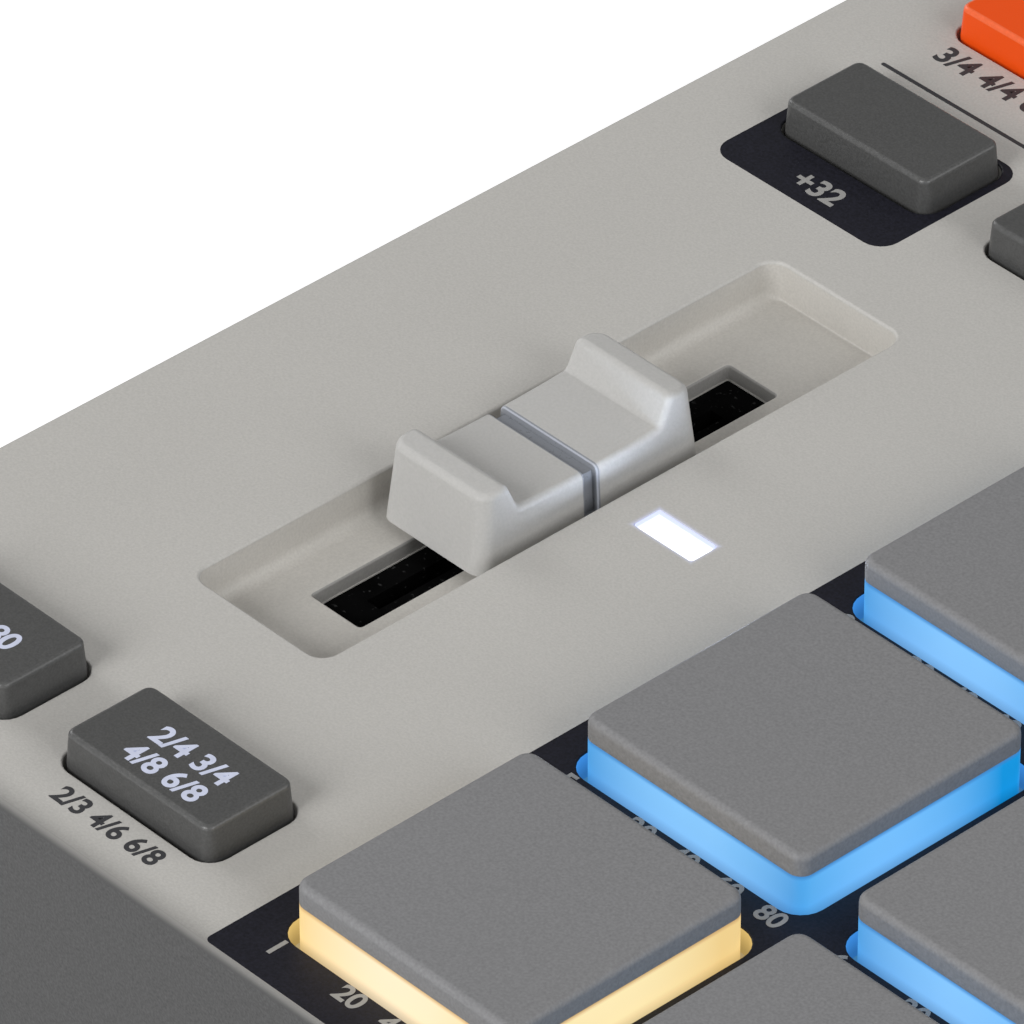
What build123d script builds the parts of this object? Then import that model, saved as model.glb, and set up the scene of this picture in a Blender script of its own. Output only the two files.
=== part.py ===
"""A portable sampler: sixteen pads, a fader, push buttons, knobs and a dial on one case.

Millimetres. +X is the player's right, +Y the rear and +Z up. The origin is the middle of the
footprint, on the table. Each piece is a solid of its own, written to parts/ under its name.
"""

import os
from math import sqrt

from build123d import *

os.makedirs("parts", exist_ok=True)

# Case: overall size, walls and the heights that everything hangs from
WIDTH = 185.8
DEPTH = 235.6
CORNER_R = 8.0
PANEL_Z = 40.0
PANEL_T = 2.5
RIM_T = 0.7
RIM_EDGE = 0.5
CASE_WALL = 2.5
FLOOR_T = 2.5
CASE_EDGE = 3.0
FOOT_H = 2.5
FOOT_R = 6.0
FOOT_AT = [(x, y) for x in (-76.0, 76.0) for y in (-102.0, 90.0)]
PANEL_UNDER = PANEL_Z - PANEL_T
RIM_Z = PANEL_Z - RIM_T
FLOOR_Z = FOOT_H + FLOOR_T
REAR_Y = DEPTH / 2
INNER_Y = REAR_Y - CASE_WALL
CASE_INSIDE = (WIDTH - 2 * CASE_WALL, DEPTH - 2 * CASE_WALL)

# Boards
BOARD_T = 1.6
CONTROL_TOP = 25.2
CONTROL_UNDER = CONTROL_TOP - BOARD_T
MAIN_TOP = 10.6
MAIN_UNDER = MAIN_TOP - BOARD_T
MAIN_SIZE = (156.0, 90.0)
MAIN_AT = (0.0, 69.0)
MAIN_BOSS = (6.0, 6.0)
MAIN_BOSS_AT = [(x, y) for x in (-72.0, 72.0) for y in (32.0, 86.0)]
CONTROL_SIZE = (172.0, 148.0)
CONTROL_AT = (0.0, -38.0)
CONTROL_WING = (119.0, 54.0)
CONTROL_WING_AT = (26.5, 63.0)

# Pads: a grid of four by four, counted from the front left
PAD_COUNT = 4
PAD_PITCH = 29.9
PAD_FIRST = (-18.35, -99.62)
PAD_HOLE = (26.3, 26.3)
PAD_HOLE_CORNER = 1.5
PAD = (24.35, 24.35)
PAD_CORNER = 0.8
PAD_RISE = 4.95
PAD_EDGE = 0.5
PAD_WALL = 2.4
PAD_ROOF = 3.0
PAD_FLANGE = (27.7, 27.7)
PAD_FLANGE_CORNER = 3.2
PAD_FLANGE_T = 1.4
PAD_POST = (7.0, 7.0)
PAD_TRAVEL = 1.2
SENSOR_T = 0.3
PAD_COLUMN_X = [PAD_FIRST[0] + PAD_PITCH * i for i in range(PAD_COUNT)]
PAD_ROW_Y = [PAD_FIRST[1] + PAD_PITCH * i for i in range(PAD_COUNT)]
PAD_AT = [(x, y) for y in PAD_ROW_Y for x in PAD_COLUMN_X]

# Push buttons: two columns beside the fader, then one row across above the pads
BUTTON = (17.3, 9.3)
BUTTON_CORNER = 0.9
BUTTON_RISE = 2.95
BUTTON_DRAFT = 4.5
BUTTON_EDGE = 0.25
BUTTON_HOLE = (18.3, 10.3)
BUTTON_HOLE_CORNER = 1.3
BUTTON_FLANGE = (19.9, 11.9)
BUTTON_FLANGE_T = 1.2
BUTTON_WALL = 1.6
BUTTON_ROOF = 2.2
BUTTON_STEM = (2.8, 2.8)
BUTTON_TRAVEL = 0.9
LEFT_X = (-74.0, -49.75)
FRONT_ROW_Y = -106.35
MIDDLE_ROW_Y = -5.55
UPPER_ROW_Y = 15.25
BUTTON_AT = {
    "button_front_left": (LEFT_X[0], FRONT_ROW_Y),
    "button_front_right": (LEFT_X[1], FRONT_ROW_Y),
    "button_middle_left": (LEFT_X[0], MIDDLE_ROW_Y),
    "button_middle_right": (LEFT_X[1], MIDDLE_ROW_Y),
    "button_record": (LEFT_X[0], UPPER_ROW_Y),
    "button_upper_2": (LEFT_X[1], UPPER_ROW_Y),
    "button_upper_3": (PAD_COLUMN_X[0], UPPER_ROW_Y),
    "button_upper_4": (PAD_COLUMN_X[1], UPPER_ROW_Y),
    "button_upper_5": (PAD_COLUMN_X[2], UPPER_ROW_Y),
    "button_upper_6": (PAD_COLUMN_X[3], UPPER_ROW_Y),
}
SWITCH = (6.2, 6.2)
SWITCH_H = 5.0
SWITCH_WELL = (3.6, 3.6)
SWITCH_WELL_DEPTH = 1.6

# Fader: a recess moulded in the panel, a slot in its floor, a slide unit below and the cap above
RECESS = (15.44, 64.1)
RECESS_AT = (-61.73, -55.77)
RECESS_R = 1.8
RECESS_DEPTH = 3.6
RECESS_DRAFT = 5.0
RECESS_FLOOR_EDGE = 0.3
RECESS_WALL = 2.0
RECESS_FLOOR_T = 1.5
SLOT = (5.8, 46.0)
SLOT_AT = (-61.7, -56.45)
FADER_TRAVEL = 30.0
RECESS_FLOOR = PANEL_Z - RECESS_DEPTH
RECESS_UNDER = RECESS_FLOOR - RECESS_FLOOR_T
DUST_T = 0.3
DUST = (10.6, 56.0)
DUST_SLIT = (1.5, 38.0)
SLIDE_BODY = (9.0, 52.0)
SLIDE_WALL = 1.2
SLIDE_TOP = RECESS_UNDER - DUST_T
SLIDE_GAP = 0.3
LEVER = (1.0, 5.0)
LEVER_TOP = 40.6
LEVER_FIT = 0.01
CARRIAGE = (6.0, 8.0)
CARRIAGE_H = 4.2
CAVITY = (CARRIAGE[0] + 2 * SLIDE_GAP, FADER_TRAVEL + CARRIAGE[1] + 4.0)

# Fader cap, drawn in its long section from the middle out
CAP_AT = (-61.7, -57.05)
CAP_WIDTH = 12.0
CAP_DRAFT = 3.0
CAP_TRIM = 4.0
CAP_DISH_WIDTH = 11.5
CAP_BASE_HALF = 12.3
CAP_TOP_HALF = 11.45
CAP_LIP_INNER = 8.85
CAP_DISH_HALF = 7.75
CAP_BASE_Z = PANEL_Z - 2.5
CAP_OUTER_Z = PANEL_Z + 4.75
CAP_LIP_Z = PANEL_Z + 5.0
CAP_DISH_Z = PANEL_Z + 2.4
CAP_DISH_SAG = 0.2
CAP_CORNER_R = 1.1
CAP_EDGE_R = 0.5
CAP_GROOVE = 1.85
CAP_GROOVE_DEPTH = 0.65
CAP_WALL = 1.6
CAP_ROOF = 0.8
CAP_SOCKET = (4.0, 8.0)

# Light window beside the fader
WINDOW = (6.8, 3.1)
WINDOW_AT = (-47.2, -56.15)
WINDOW_LIP = 0.7
WINDOW_LIP_T = 1.0
WINDOW_FOOT = 1.5
WINDOW_GAP = 0.05

# Knobs in line with the pad columns, and the dial
KNOB_ROW_Y = 42.0
KNOB_AT = [(x, KNOB_ROW_Y) for x in PAD_COLUMN_X]
KNOB_R = 7.0
KNOB_H = 12.4
KNOB_GAP = 0.6
KNOB_EDGE = 0.8
KNOB_FLUTES = 12
KNOB_FLUTE = (1.0, 1.5)
KNOB_FLUTE_END = 2.0
SHAFT_R = 3.0
SHAFT_FIT = 0.05
SHAFT_TOP = 50.0
SHAFT_FLAT = 1.5
SHAFT_FLAT_H = 8.0
SHAFT_FOOT = 1.8
GRIP_FIT = 0.01
POT = (9.8, 11.0)
POT_H = 6.5
SHAFT_HOLE_R = 3.8
DIAL_AT = (PAD_COLUMN_X[3], 80.0)
DIAL_R = 16.0
DIAL_H = 12.0
DIAL_EDGE = 1.2
DIAL_DISH = 1.0
DIAL_DISH_R = 12.5
DIAL_FLUTES = 20
DIAL_FLUTE = (1.4, 2.2)
DIAL_FLUTE_END = 2.4
ENCODER = (14.0, 14.0)
POINTER = (1.2, 5.0)
POINTER_DEPTH = 0.6

# Display
LENS = (72.0, 44.0)
LENS_AT = (PAD_COLUMN_X[1], 82.0)
LENS_CORNER = 1.5
LENS_T = 1.5
LENS_GAP = 0.2
DISPLAY_WINDOW = (62.0, 36.0)
DISPLAY_MODULE = (66.0, 40.0)
DISPLAY_H = 4.0

# Speaker behind slots in the panel
SPEAKER_AT = (-61.9, 68.0)
SPEAKER_R = 24.0
SPEAKER_FLANGE_T = 2.0
SPEAKER_CONE_R = 21.0
SPEAKER_CONE_FLOOR_R = 8.0
SPEAKER_CONE_DEPTH = 5.0
SPEAKER_NECK_Z = 27.5
SPEAKER_MAGNET_R = 16.0
SPEAKER_BOTTOM = 19.5
GRILLE_R = 21.0
GRILLE_SLOT = 2.0
GRILLE_CORNER = 0.5
GRILLE_PITCH = 4.2
GRILLE_COUNT = 9

# Battery
BATTERY = (62.0, 70.0)
BATTERY_AT = (-41.0, -65.0)
BATTERY_EDGE = 1.0
BATTERY_H = 11.0
RIB_T = 2.0
RIB_H = 4.0
RIB_GAP = 0.4

# Rear plate with its sockets and the power switch
PLATE = (160.0, 22.5)
PLATE_Z = 18.75
PLATE_LIP = 1.5
PLATE_LIP_T = 1.0
LINE_JACK_X = (8.0, 28.0, 48.0, 68.0)
LINE_JACK_Z = 18.0
LINE_JACK_BORE_R = 3.25
LINE_JACK_NOSE_R = 5.4
LINE_JACK = (15.0, 22.0)
LINE_JACK_H = 14.5
MINI_JACK_X = (-32.0, -20.0, -8.0)
MINI_JACK_Z = 13.9
MINI_JACK_BORE_R = 1.8
MINI_JACK_NOSE_R = 3.0
MINI_JACK = (7.0, 12.0)
MINI_JACK_H = 6.4
NOSE_GAP = 0.3
NOSE_SINK = 0.3
USB = (9.0, 3.2)
USB_AT = (-50.0, MAIN_TOP + USB[1] / 2)
USB_WALL = 0.3
USB_LENGTH = 8.0
USB_BACK = 1.0
USB_TONGUE = (6.7, 0.7)
USB_TONGUE_LENGTH = 5.0
POWER_AT = (-70.0, 13.8)
POWER_TRAVEL = 2.0
POWER_GAP = 0.4
POWER_SLIDER = (4.0, 3.2)
POWER_SLIDER_LENGTH = 8.0
POWER_SLIDER_CORNER = 0.4
POWER_WELL = (POWER_SLIDER[0] + POWER_TRAVEL + 2 * POWER_GAP, POWER_SLIDER[1] + 2 * POWER_GAP)
POWER_BODY = (12.0, 7.5)
POWER_BODY_H = 6.6

# Screws: each clamps a post of the lower case, the board between and a boss of the panel
SCREW_R = 1.5
SCREW_HEAD_R = 2.75
SCREW_HEAD_T = 2.4
SCREW_TOP = 34.0
SCREW_BORE_TOP = SCREW_TOP + 1.0
SCREW_SEAT_Z = CONTROL_UNDER - 4.0
SCREW_WELL_R = 3.1
SCREW_HOLE_R = 1.7
BOSS_R = 3.2
POST_R = 4.2
PAD_CORNER_X = PAD_FIRST[0] + PAD_PITCH * 2.5
PAD_CORNER_Y = [PAD_FIRST[1] + PAD_PITCH * (i + 0.5) for i in (0, 2)]
FRONT_SCREW_AT = [(-82.0, -92.0), (PAD_CORNER_X, PAD_CORNER_Y[0])]
REAR_SCREW_AT = [(-84.0, 104.0), (84.0, 104.0)]
SCREW_AT = FRONT_SCREW_AT + REAR_SCREW_AT
PROP = (6.0, 6.0)
PROP_AT = [(-82.0, -18.0), (PAD_CORNER_X, PAD_CORNER_Y[1])]

REAR = Plane.XZ.offset(-REAR_Y)
NOSES = Plane.XZ.offset(NOSE_SINK - REAR_Y)
LINE_JACKS = [(x, LINE_JACK_Z) for x in LINE_JACK_X]
MINI_JACKS = [(x, MINI_JACK_Z) for x in MINI_JACK_X]


def block(centre, size, corner, low, high, mode=Mode.ADD, taper=0.0):
    """Add or cut an upright block between two heights, its corners cut off by a given length."""
    with BuildSketch(Plane.XY.offset(low)) as outline:
        with Locations(centre):
            Rectangle(size[0], size[1])
        if corner:
            chamfer(outline.vertices(), corner)
    extrude(outline.sketch, amount=high - low, taper=taper, mode=mode)


def discs(centres, radius, low, high, mode=Mode.ADD):
    """Add or cut an upright cylinder at each centre between two heights."""
    with BuildSketch(Plane.XY.offset(low)) as outline:
        with Locations(*centres):
            Circle(radius)
    extrude(outline.sketch, amount=high - low, mode=mode)


def turned(centre, points):
    """Spin a half outline, given as radius and height, about an upright axis."""
    plane = Plane(origin=(centre[0], centre[1], 0), x_dir=(1, 0, 0), z_dir=(0, -1, 0))
    with BuildSketch(plane) as half:
        with BuildLine():
            Polyline(*points, close=True)
        make_face()
    revolve(half.sketch, axis=Axis((centre[0], centre[1], 0), (0, 0, 1)))


def flutes(centre, radius, count, size, low, high):
    """Cut upright grooves round a turned grip."""
    with BuildSketch(Plane(origin=(centre[0], centre[1], low))) as outline:
        with PolarLocations(radius, count):
            Rectangle(size[0], size[1])
    extrude(outline.sketch, amount=high - low, mode=Mode.SUBTRACT)


def shaft_section(centre, low, high, clearance, mode):
    """Add or cut a round shaft with one flat, between two heights."""
    radius = SHAFT_R + clearance
    with BuildSketch(Plane.XY.offset(low)) as outline:
        with Locations(centre):
            Circle(radius)
        with Locations((centre[0], centre[1] + SHAFT_FLAT + clearance)):
            Rectangle(2 * radius, radius, align=(Align.CENTER, Align.MIN), mode=Mode.SUBTRACT)
    extrude(outline.sketch, amount=high - low, mode=mode)


def grown(size, by):
    """A width and depth with the same margin added on every side."""
    return (size[0] + 2 * by, size[1] + 2 * by)


def keep(piece, name):
    """Label a finished piece and write it to a file of its own."""
    piece.part.label = name
    export_step(piece.part, f"parts/{name}.step")


# Top panel: a thin plate whose rim sits on the case walls, with every opening moulded in
with BuildPart() as top_panel:
    with BuildSketch(Plane.XY.offset(RIM_Z)):
        RectangleRounded(WIDTH, DEPTH, CORNER_R)
    extrude(amount=RIM_T)
    chamfer(top_panel.edges().group_by(Axis.Z)[-1], RIM_EDGE)
    with BuildSketch(Plane.XY.offset(PANEL_UNDER)):
        RectangleRounded(CASE_INSIDE[0], CASE_INSIDE[1], CORNER_R - CASE_WALL)
    extrude(amount=RIM_Z - PANEL_UNDER)
    # The fader's tub hangs below the plate, and its recess is cut from above with draft
    block(RECESS_AT, grown(RECESS, RECESS_WALL), RECESS_WALL, RECESS_UNDER, PANEL_UNDER)
    with BuildSketch(Plane.XY.offset(PANEL_Z)):
        with Locations(RECESS_AT):
            RectangleRounded(RECESS[0], RECESS[1], RECESS_R)
    extrude(amount=-RECESS_DEPTH, taper=RECESS_DRAFT, mode=Mode.SUBTRACT)
    level = top_panel.faces().filter_by(Axis.Z)
    recess_floor = level.sort_by(lambda face: abs(face.center().Z - RECESS_FLOOR))[0]
    chamfer(recess_floor.edges(), RECESS_FLOOR_EDGE)
    block(SLOT_AT, SLOT, 0, RECESS_UNDER, RECESS_FLOOR, Mode.SUBTRACT)
    # Bosses that take the screws
    discs(SCREW_AT, BOSS_R, CONTROL_TOP, PANEL_UNDER)
    discs(SCREW_AT, SCREW_R, CONTROL_TOP, SCREW_BORE_TOP, Mode.SUBTRACT)
    # The display lens lies in a shallow pocket round its window
    block(LENS_AT, grown(LENS, LENS_GAP), LENS_CORNER, PANEL_Z - LENS_T, PANEL_Z, Mode.SUBTRACT)
    block(LENS_AT, DISPLAY_WINDOW, 0, PANEL_UNDER, PANEL_Z, Mode.SUBTRACT)
    # Openings through the plate
    for centre in PAD_AT:
        block(centre, PAD_HOLE, PAD_HOLE_CORNER, PANEL_UNDER, PANEL_Z, Mode.SUBTRACT)
    for centre in BUTTON_AT.values():
        block(centre, BUTTON_HOLE, BUTTON_HOLE_CORNER, PANEL_UNDER, PANEL_Z, Mode.SUBTRACT)
    block(WINDOW_AT, grown(WINDOW, WINDOW_GAP), 0, PANEL_UNDER, PANEL_Z, Mode.SUBTRACT)
    discs(KNOB_AT + [DIAL_AT], SHAFT_HOLE_R, PANEL_UNDER, PANEL_Z, Mode.SUBTRACT)
    for i in range(GRILLE_COUNT):
        row = (i - (GRILLE_COUNT - 1) / 2) * GRILLE_PITCH
        middle = (SPEAKER_AT[0], SPEAKER_AT[1] + row)
        opening = (2 * sqrt(GRILLE_R**2 - row**2), GRILLE_SLOT)
        block(middle, opening, GRILLE_CORNER, PANEL_UNDER, PANEL_Z, Mode.SUBTRACT)
keep(top_panel, "top_panel")

# Lower case: an open tub with screw posts, board props, battery ribs and a window for the rear plate
with BuildPart() as lower_case:
    with BuildSketch(Plane.XY.offset(FOOT_H)):
        RectangleRounded(WIDTH, DEPTH, CORNER_R)
    extrude(amount=RIM_Z - FOOT_H)
    chamfer(lower_case.edges().group_by(Axis.Z)[0], CASE_EDGE)
    with BuildSketch(Plane.XY.offset(FLOOR_Z)):
        RectangleRounded(CASE_INSIDE[0], CASE_INSIDE[1], CORNER_R - CASE_WALL)
    extrude(amount=RIM_Z - FLOOR_Z, mode=Mode.SUBTRACT)
    discs(FRONT_SCREW_AT, POST_R, FLOOR_Z, CONTROL_UNDER)
    discs(REAR_SCREW_AT, POST_R, FLOOR_Z, CONTROL_TOP)
    for centre in PROP_AT:
        block(centre, PROP, 0, FLOOR_Z, CONTROL_UNDER)
    for centre in MAIN_BOSS_AT:
        block(centre, MAIN_BOSS, 0, FLOOR_Z, MAIN_UNDER)
    battery_pocket = grown(BATTERY, RIB_GAP)
    block(BATTERY_AT, grown(battery_pocket, RIB_T), 0, FLOOR_Z, FLOOR_Z + RIB_H)
    block(BATTERY_AT, battery_pocket, 0, FLOOR_Z, FLOOR_Z + RIB_H, Mode.SUBTRACT)
    discs(SCREW_AT, SCREW_WELL_R, FOOT_H, SCREW_SEAT_Z, Mode.SUBTRACT)
    discs(SCREW_AT, SCREW_HOLE_R, SCREW_SEAT_Z, CONTROL_TOP, Mode.SUBTRACT)
    with BuildSketch(REAR):
        with Locations((0, PLATE_Z)):
            Rectangle(PLATE[0], PLATE[1])
    extrude(amount=CASE_WALL, mode=Mode.SUBTRACT)
keep(lower_case, "lower_case")

# Rear plate: flush in its window, with a lip behind the wall and an opening for each socket
with BuildPart() as rear_plate:
    with BuildSketch(REAR):
        with Locations((0, PLATE_Z)):
            Rectangle(PLATE[0], PLATE[1])
    extrude(amount=CASE_WALL)
    with BuildSketch(Plane.XZ.offset(-INNER_Y)):
        with Locations((0, PLATE_Z)):
            Rectangle(PLATE[0] + 2 * PLATE_LIP, PLATE[1] + 2 * PLATE_LIP)
            Rectangle(PLATE[0] - 2 * PLATE_LIP, PLATE[1] - 2 * PLATE_LIP, mode=Mode.SUBTRACT)
    extrude(amount=PLATE_LIP_T)
    with BuildSketch(REAR):
        with Locations(*LINE_JACKS):
            Circle(LINE_JACK_NOSE_R + NOSE_GAP)
        with Locations(*MINI_JACKS):
            Circle(MINI_JACK_NOSE_R + NOSE_GAP)
        with Locations(USB_AT):
            SlotOverall(USB[0] + 2 * NOSE_GAP, USB[1] + 2 * NOSE_GAP)
        with Locations(POWER_AT):
            Rectangle(POWER_WELL[0], POWER_WELL[1])
    extrude(amount=CASE_WALL, mode=Mode.SUBTRACT)
keep(rear_plate, "rear_plate")

# Rubber feet, one group
with BuildPart() as rubber_feet:
    discs(FOOT_AT, FOOT_R, 0, FOOT_H)
keep(rubber_feet, "rubber_feet")

# Case screws, one group, heads deep in the posts
with BuildPart() as case_screws:
    discs(SCREW_AT, SCREW_HEAD_R, SCREW_SEAT_Z - SCREW_HEAD_T, SCREW_SEAT_Z)
    discs(SCREW_AT, SCREW_R, SCREW_SEAT_Z, SCREW_TOP)
keep(case_screws, "case_screws")

# Main board on the case bosses, and the control board clamped under the panel
with BuildPart() as main_board:
    block(MAIN_AT, MAIN_SIZE, 0, MAIN_UNDER, MAIN_TOP)
keep(main_board, "main_board")

with BuildPart() as control_board:
    block(CONTROL_AT, CONTROL_SIZE, 0, CONTROL_UNDER, CONTROL_TOP)
    block(CONTROL_WING_AT, CONTROL_WING, 0, CONTROL_UNDER, CONTROL_TOP)
    discs(FRONT_SCREW_AT, SCREW_HOLE_R, CONTROL_UNDER, CONTROL_TOP, Mode.SUBTRACT)
keep(control_board, "control_board")

# Battery pack between its ribs
with BuildPart() as battery_pack:
    block(BATTERY_AT, BATTERY, BATTERY_EDGE, FLOOR_Z, FLOOR_Z + BATTERY_H)
    chamfer(battery_pack.edges().group_by(Axis.Z)[-1], BATTERY_EDGE)
keep(battery_pack, "battery_pack")

# Sensor sheet under the pads, cut away round the panel's boss
PAD_MIDDLE = (sum(PAD_COLUMN_X) / PAD_COUNT, sum(PAD_ROW_Y) / PAD_COUNT)
PAD_FIELD = PAD_PITCH * (PAD_COUNT - 1) + PAD_FLANGE[0]
with BuildPart() as pad_sensor_sheet:
    block(PAD_MIDDLE, (PAD_FIELD, PAD_FIELD), 0, CONTROL_TOP, CONTROL_TOP + SENSOR_T)
    discs(FRONT_SCREW_AT[1:], BOSS_R + SLIDE_GAP, CONTROL_TOP, CONTROL_TOP + SENSOR_T, Mode.SUBTRACT)
keep(pad_sensor_sheet, "pad_sensor_sheet")

# Pads: a translucent hat with a flange under the panel and a post over the sensor
PAD_FLANGE_TOP = PANEL_UNDER - SLIDE_GAP
PAD_FLANGE_Z = PAD_FLANGE_TOP - PAD_FLANGE_T
PAD_TOP = PANEL_Z + PAD_RISE
PAD_POST_Z = CONTROL_TOP + SENSOR_T + PAD_TRAVEL + SLIDE_GAP
for number, centre in enumerate(PAD_AT, start=1):
    with BuildPart() as pad:
        block(centre, PAD, PAD_CORNER, PAD_FLANGE_Z, PAD_TOP)
        chamfer(pad.edges().group_by(Axis.Z)[-1], PAD_EDGE)
        block(centre, PAD_FLANGE, PAD_FLANGE_CORNER, PAD_FLANGE_Z, PAD_FLANGE_TOP)
        block(centre, grown(PAD, -PAD_WALL), 0, PAD_FLANGE_Z, PAD_TOP - PAD_ROOF, Mode.SUBTRACT)
        block(centre, PAD_POST, 0, PAD_POST_Z, PAD_TOP - PAD_ROOF)
    keep(pad, f"pad_{number:02d}")

# Push switches on the control board, one group, each with a well for its button's stem
SWITCH_TOP = CONTROL_TOP + SWITCH_H
SWITCH_WELL_Z = SWITCH_TOP - SWITCH_WELL_DEPTH
with BuildPart() as button_switches:
    for centre in BUTTON_AT.values():
        block(centre, SWITCH, 0, CONTROL_TOP, SWITCH_TOP)
        block(centre, SWITCH_WELL, 0, SWITCH_WELL_Z, SWITCH_TOP, Mode.SUBTRACT)
keep(button_switches, "button_switches")

# Push buttons: a drafted hollow cap with a flange under the panel and a stem in the switch's well
BUTTON_TOP = PANEL_Z + BUTTON_RISE
BUTTON_FLANGE_TOP = PANEL_UNDER - SLIDE_GAP
BUTTON_FLANGE_Z = BUTTON_FLANGE_TOP - BUTTON_FLANGE_T
BUTTON_ROOF_Z = BUTTON_TOP - BUTTON_ROOF
STEM_Z = SWITCH_WELL_Z + BUTTON_TRAVEL + SLIDE_GAP
for name, centre in BUTTON_AT.items():
    with BuildPart() as button:
        block(centre, BUTTON, BUTTON_CORNER, BUTTON_FLANGE_Z, PANEL_Z)
        block(centre, BUTTON, BUTTON_CORNER, PANEL_Z, BUTTON_TOP, taper=BUTTON_DRAFT)
        chamfer(button.edges().group_by(Axis.Z)[-1], BUTTON_EDGE)
        block(centre, BUTTON_FLANGE, BUTTON_CORNER, BUTTON_FLANGE_Z, BUTTON_FLANGE_TOP)
        block(centre, grown(BUTTON, -BUTTON_WALL), 0, BUTTON_FLANGE_Z, BUTTON_ROOF_Z, Mode.SUBTRACT)
        block(centre, BUTTON_STEM, 0, STEM_Z, BUTTON_ROOF_Z)
    keep(button, name)

# Slide unit under the fader slot: a can with a long cavity and a slit for the lever
CAVITY_TOP = SLIDE_TOP - SLIDE_WALL
CAVITY_Z = CAVITY_TOP - CARRIAGE_H - 2 * SLIDE_GAP
with BuildPart() as fader_body:
    block(SLOT_AT, SLIDE_BODY, 0, CONTROL_TOP, SLIDE_TOP)
    block(SLOT_AT, CAVITY, 0, CAVITY_Z, CAVITY_TOP, Mode.SUBTRACT)
    block(SLOT_AT, DUST_SLIT, 0, CAVITY_TOP, SLIDE_TOP, Mode.SUBTRACT)
keep(fader_body, "fader_body")

with BuildPart() as fader_dust_sheet:
    block(SLOT_AT, DUST, 0, SLIDE_TOP, RECESS_UNDER)
    block(SLOT_AT, DUST_SLIT, 0, SLIDE_TOP, RECESS_UNDER, Mode.SUBTRACT)
keep(fader_dust_sheet, "fader_dust_sheet")

with BuildPart() as fader_lever:
    block(CAP_AT, CARRIAGE, 0, CAVITY_Z + SLIDE_GAP, CAVITY_TOP - SLIDE_GAP)
    block(CAP_AT, LEVER, 0, CAVITY_TOP - SLIDE_GAP, LEVER_TOP)
keep(fader_lever, "fader_lever")

# Fader cap: its long section is drawn once, with raised lips and a dish, and pulled across
SECTION = Plane(origin=(CAP_AT[0], CAP_AT[1], 0), x_dir=(0, 1, 0), z_dir=(1, 0, 0))
CAP_ROOF_Z = CAP_DISH_Z - CAP_GROOVE_DEPTH - CAP_DISH_SAG - CAP_ROOF
CAP_INSIDE = (CAP_WIDTH - 2 * CAP_WALL, 2 * (CAP_BASE_HALF - CAP_WALL))
with BuildPart() as fader_cap:
    with BuildSketch(SECTION):
        with BuildLine():
            base = Line((-CAP_BASE_HALF, CAP_BASE_Z), (CAP_BASE_HALF, CAP_BASE_Z))
            rear = Line(base @ 1, (CAP_TOP_HALF, CAP_OUTER_Z))
            rear_lip = Line(rear @ 1, (CAP_LIP_INNER, CAP_LIP_Z))
            rear_slope = Line(rear_lip @ 1, (CAP_DISH_HALF, CAP_DISH_Z))
            dish = SagittaArc(rear_slope @ 1, (-CAP_DISH_HALF, CAP_DISH_Z), CAP_DISH_SAG)
            front_slope = Line(dish @ 1, (-CAP_LIP_INNER, CAP_LIP_Z))
            front_lip = Line(front_slope @ 1, (-CAP_TOP_HALF, CAP_OUTER_Z))
            Line(front_lip @ 1, base @ 0)
        make_face()
    extrude(amount=CAP_WIDTH / 2, both=True)
    # Both long sides lean in
    trim = (CAP_WIDTH, 2 * CAP_BASE_HALF + CAP_TRIM)
    block(CAP_AT, trim, 0, CAP_BASE_Z, CAP_LIP_Z, Mode.INTERSECT, CAP_DRAFT)
    ends = fader_cap.faces().filter_by(lambda face: abs(face.normal_at().Y) > 0.9)
    fillet(ends.edges().filter_by(lambda edge: abs(edge.tangent_at(0).Z) > 0.9), CAP_CORNER_R)
    lips = fader_cap.faces().filter_by(lambda face: face.center().Z > CAP_OUTER_Z)
    fillet(lips.edges(), CAP_EDGE_R)
    # The groove goes over the top and down both sides
    with BuildSketch(SECTION):
        with Locations((0, CAP_DISH_Z)):
            Rectangle(CAP_GROOVE, 2 * (CAP_GROOVE_DEPTH + CAP_DISH_SAG))
    extrude(amount=CAP_WIDTH / 2, both=True, mode=Mode.SUBTRACT)
    for side in (-1, 1):
        groove_at = (CAP_AT[0] + side * CAP_DISH_WIDTH / 2, CAP_AT[1])
        block(groove_at, (2 * CAP_GROOVE_DEPTH, CAP_GROOVE), 0, CAP_BASE_Z, CAP_LIP_Z, Mode.SUBTRACT)
    # Hollow underside with a socket for the lever
    block(CAP_AT, CAP_INSIDE, 0, CAP_BASE_Z, CAP_ROOF_Z, Mode.SUBTRACT)
    block(CAP_AT, CAP_SOCKET, 0, CAP_BASE_Z, CAP_ROOF_Z)
    block(CAP_AT, grown(LEVER, LEVER_FIT), 0, CAP_BASE_Z, LEVER_TOP, Mode.SUBTRACT)
keep(fader_cap, "fader_cap")

# Light window: a clear pipe flush with the panel, with a lip glued under it
with BuildPart() as fader_light:
    block(WINDOW_AT, WINDOW, 0, PANEL_UNDER - WINDOW_LIP_T - WINDOW_FOOT, PANEL_Z)
    block(WINDOW_AT, grown(WINDOW, WINDOW_LIP), 0, PANEL_UNDER - WINDOW_LIP_T, PANEL_UNDER)
keep(fader_light, "fader_light")

# Knob potentiometers and the dial's encoder on the control board, one group
POT_TOP = CONTROL_TOP + POT_H
SHAFT_Z = CONTROL_TOP + SHAFT_FOOT
BORE_R = SHAFT_R + SHAFT_FIT
with BuildPart() as pot_bodies:
    for centre in KNOB_AT:
        block(centre, POT, 0, CONTROL_TOP, POT_TOP)
    block(DIAL_AT, ENCODER, 0, CONTROL_TOP, POT_TOP)
    discs(KNOB_AT + [DIAL_AT], BORE_R, SHAFT_Z - SLIDE_GAP, POT_TOP, Mode.SUBTRACT)
keep(pot_bodies, "pot_bodies")

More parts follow.
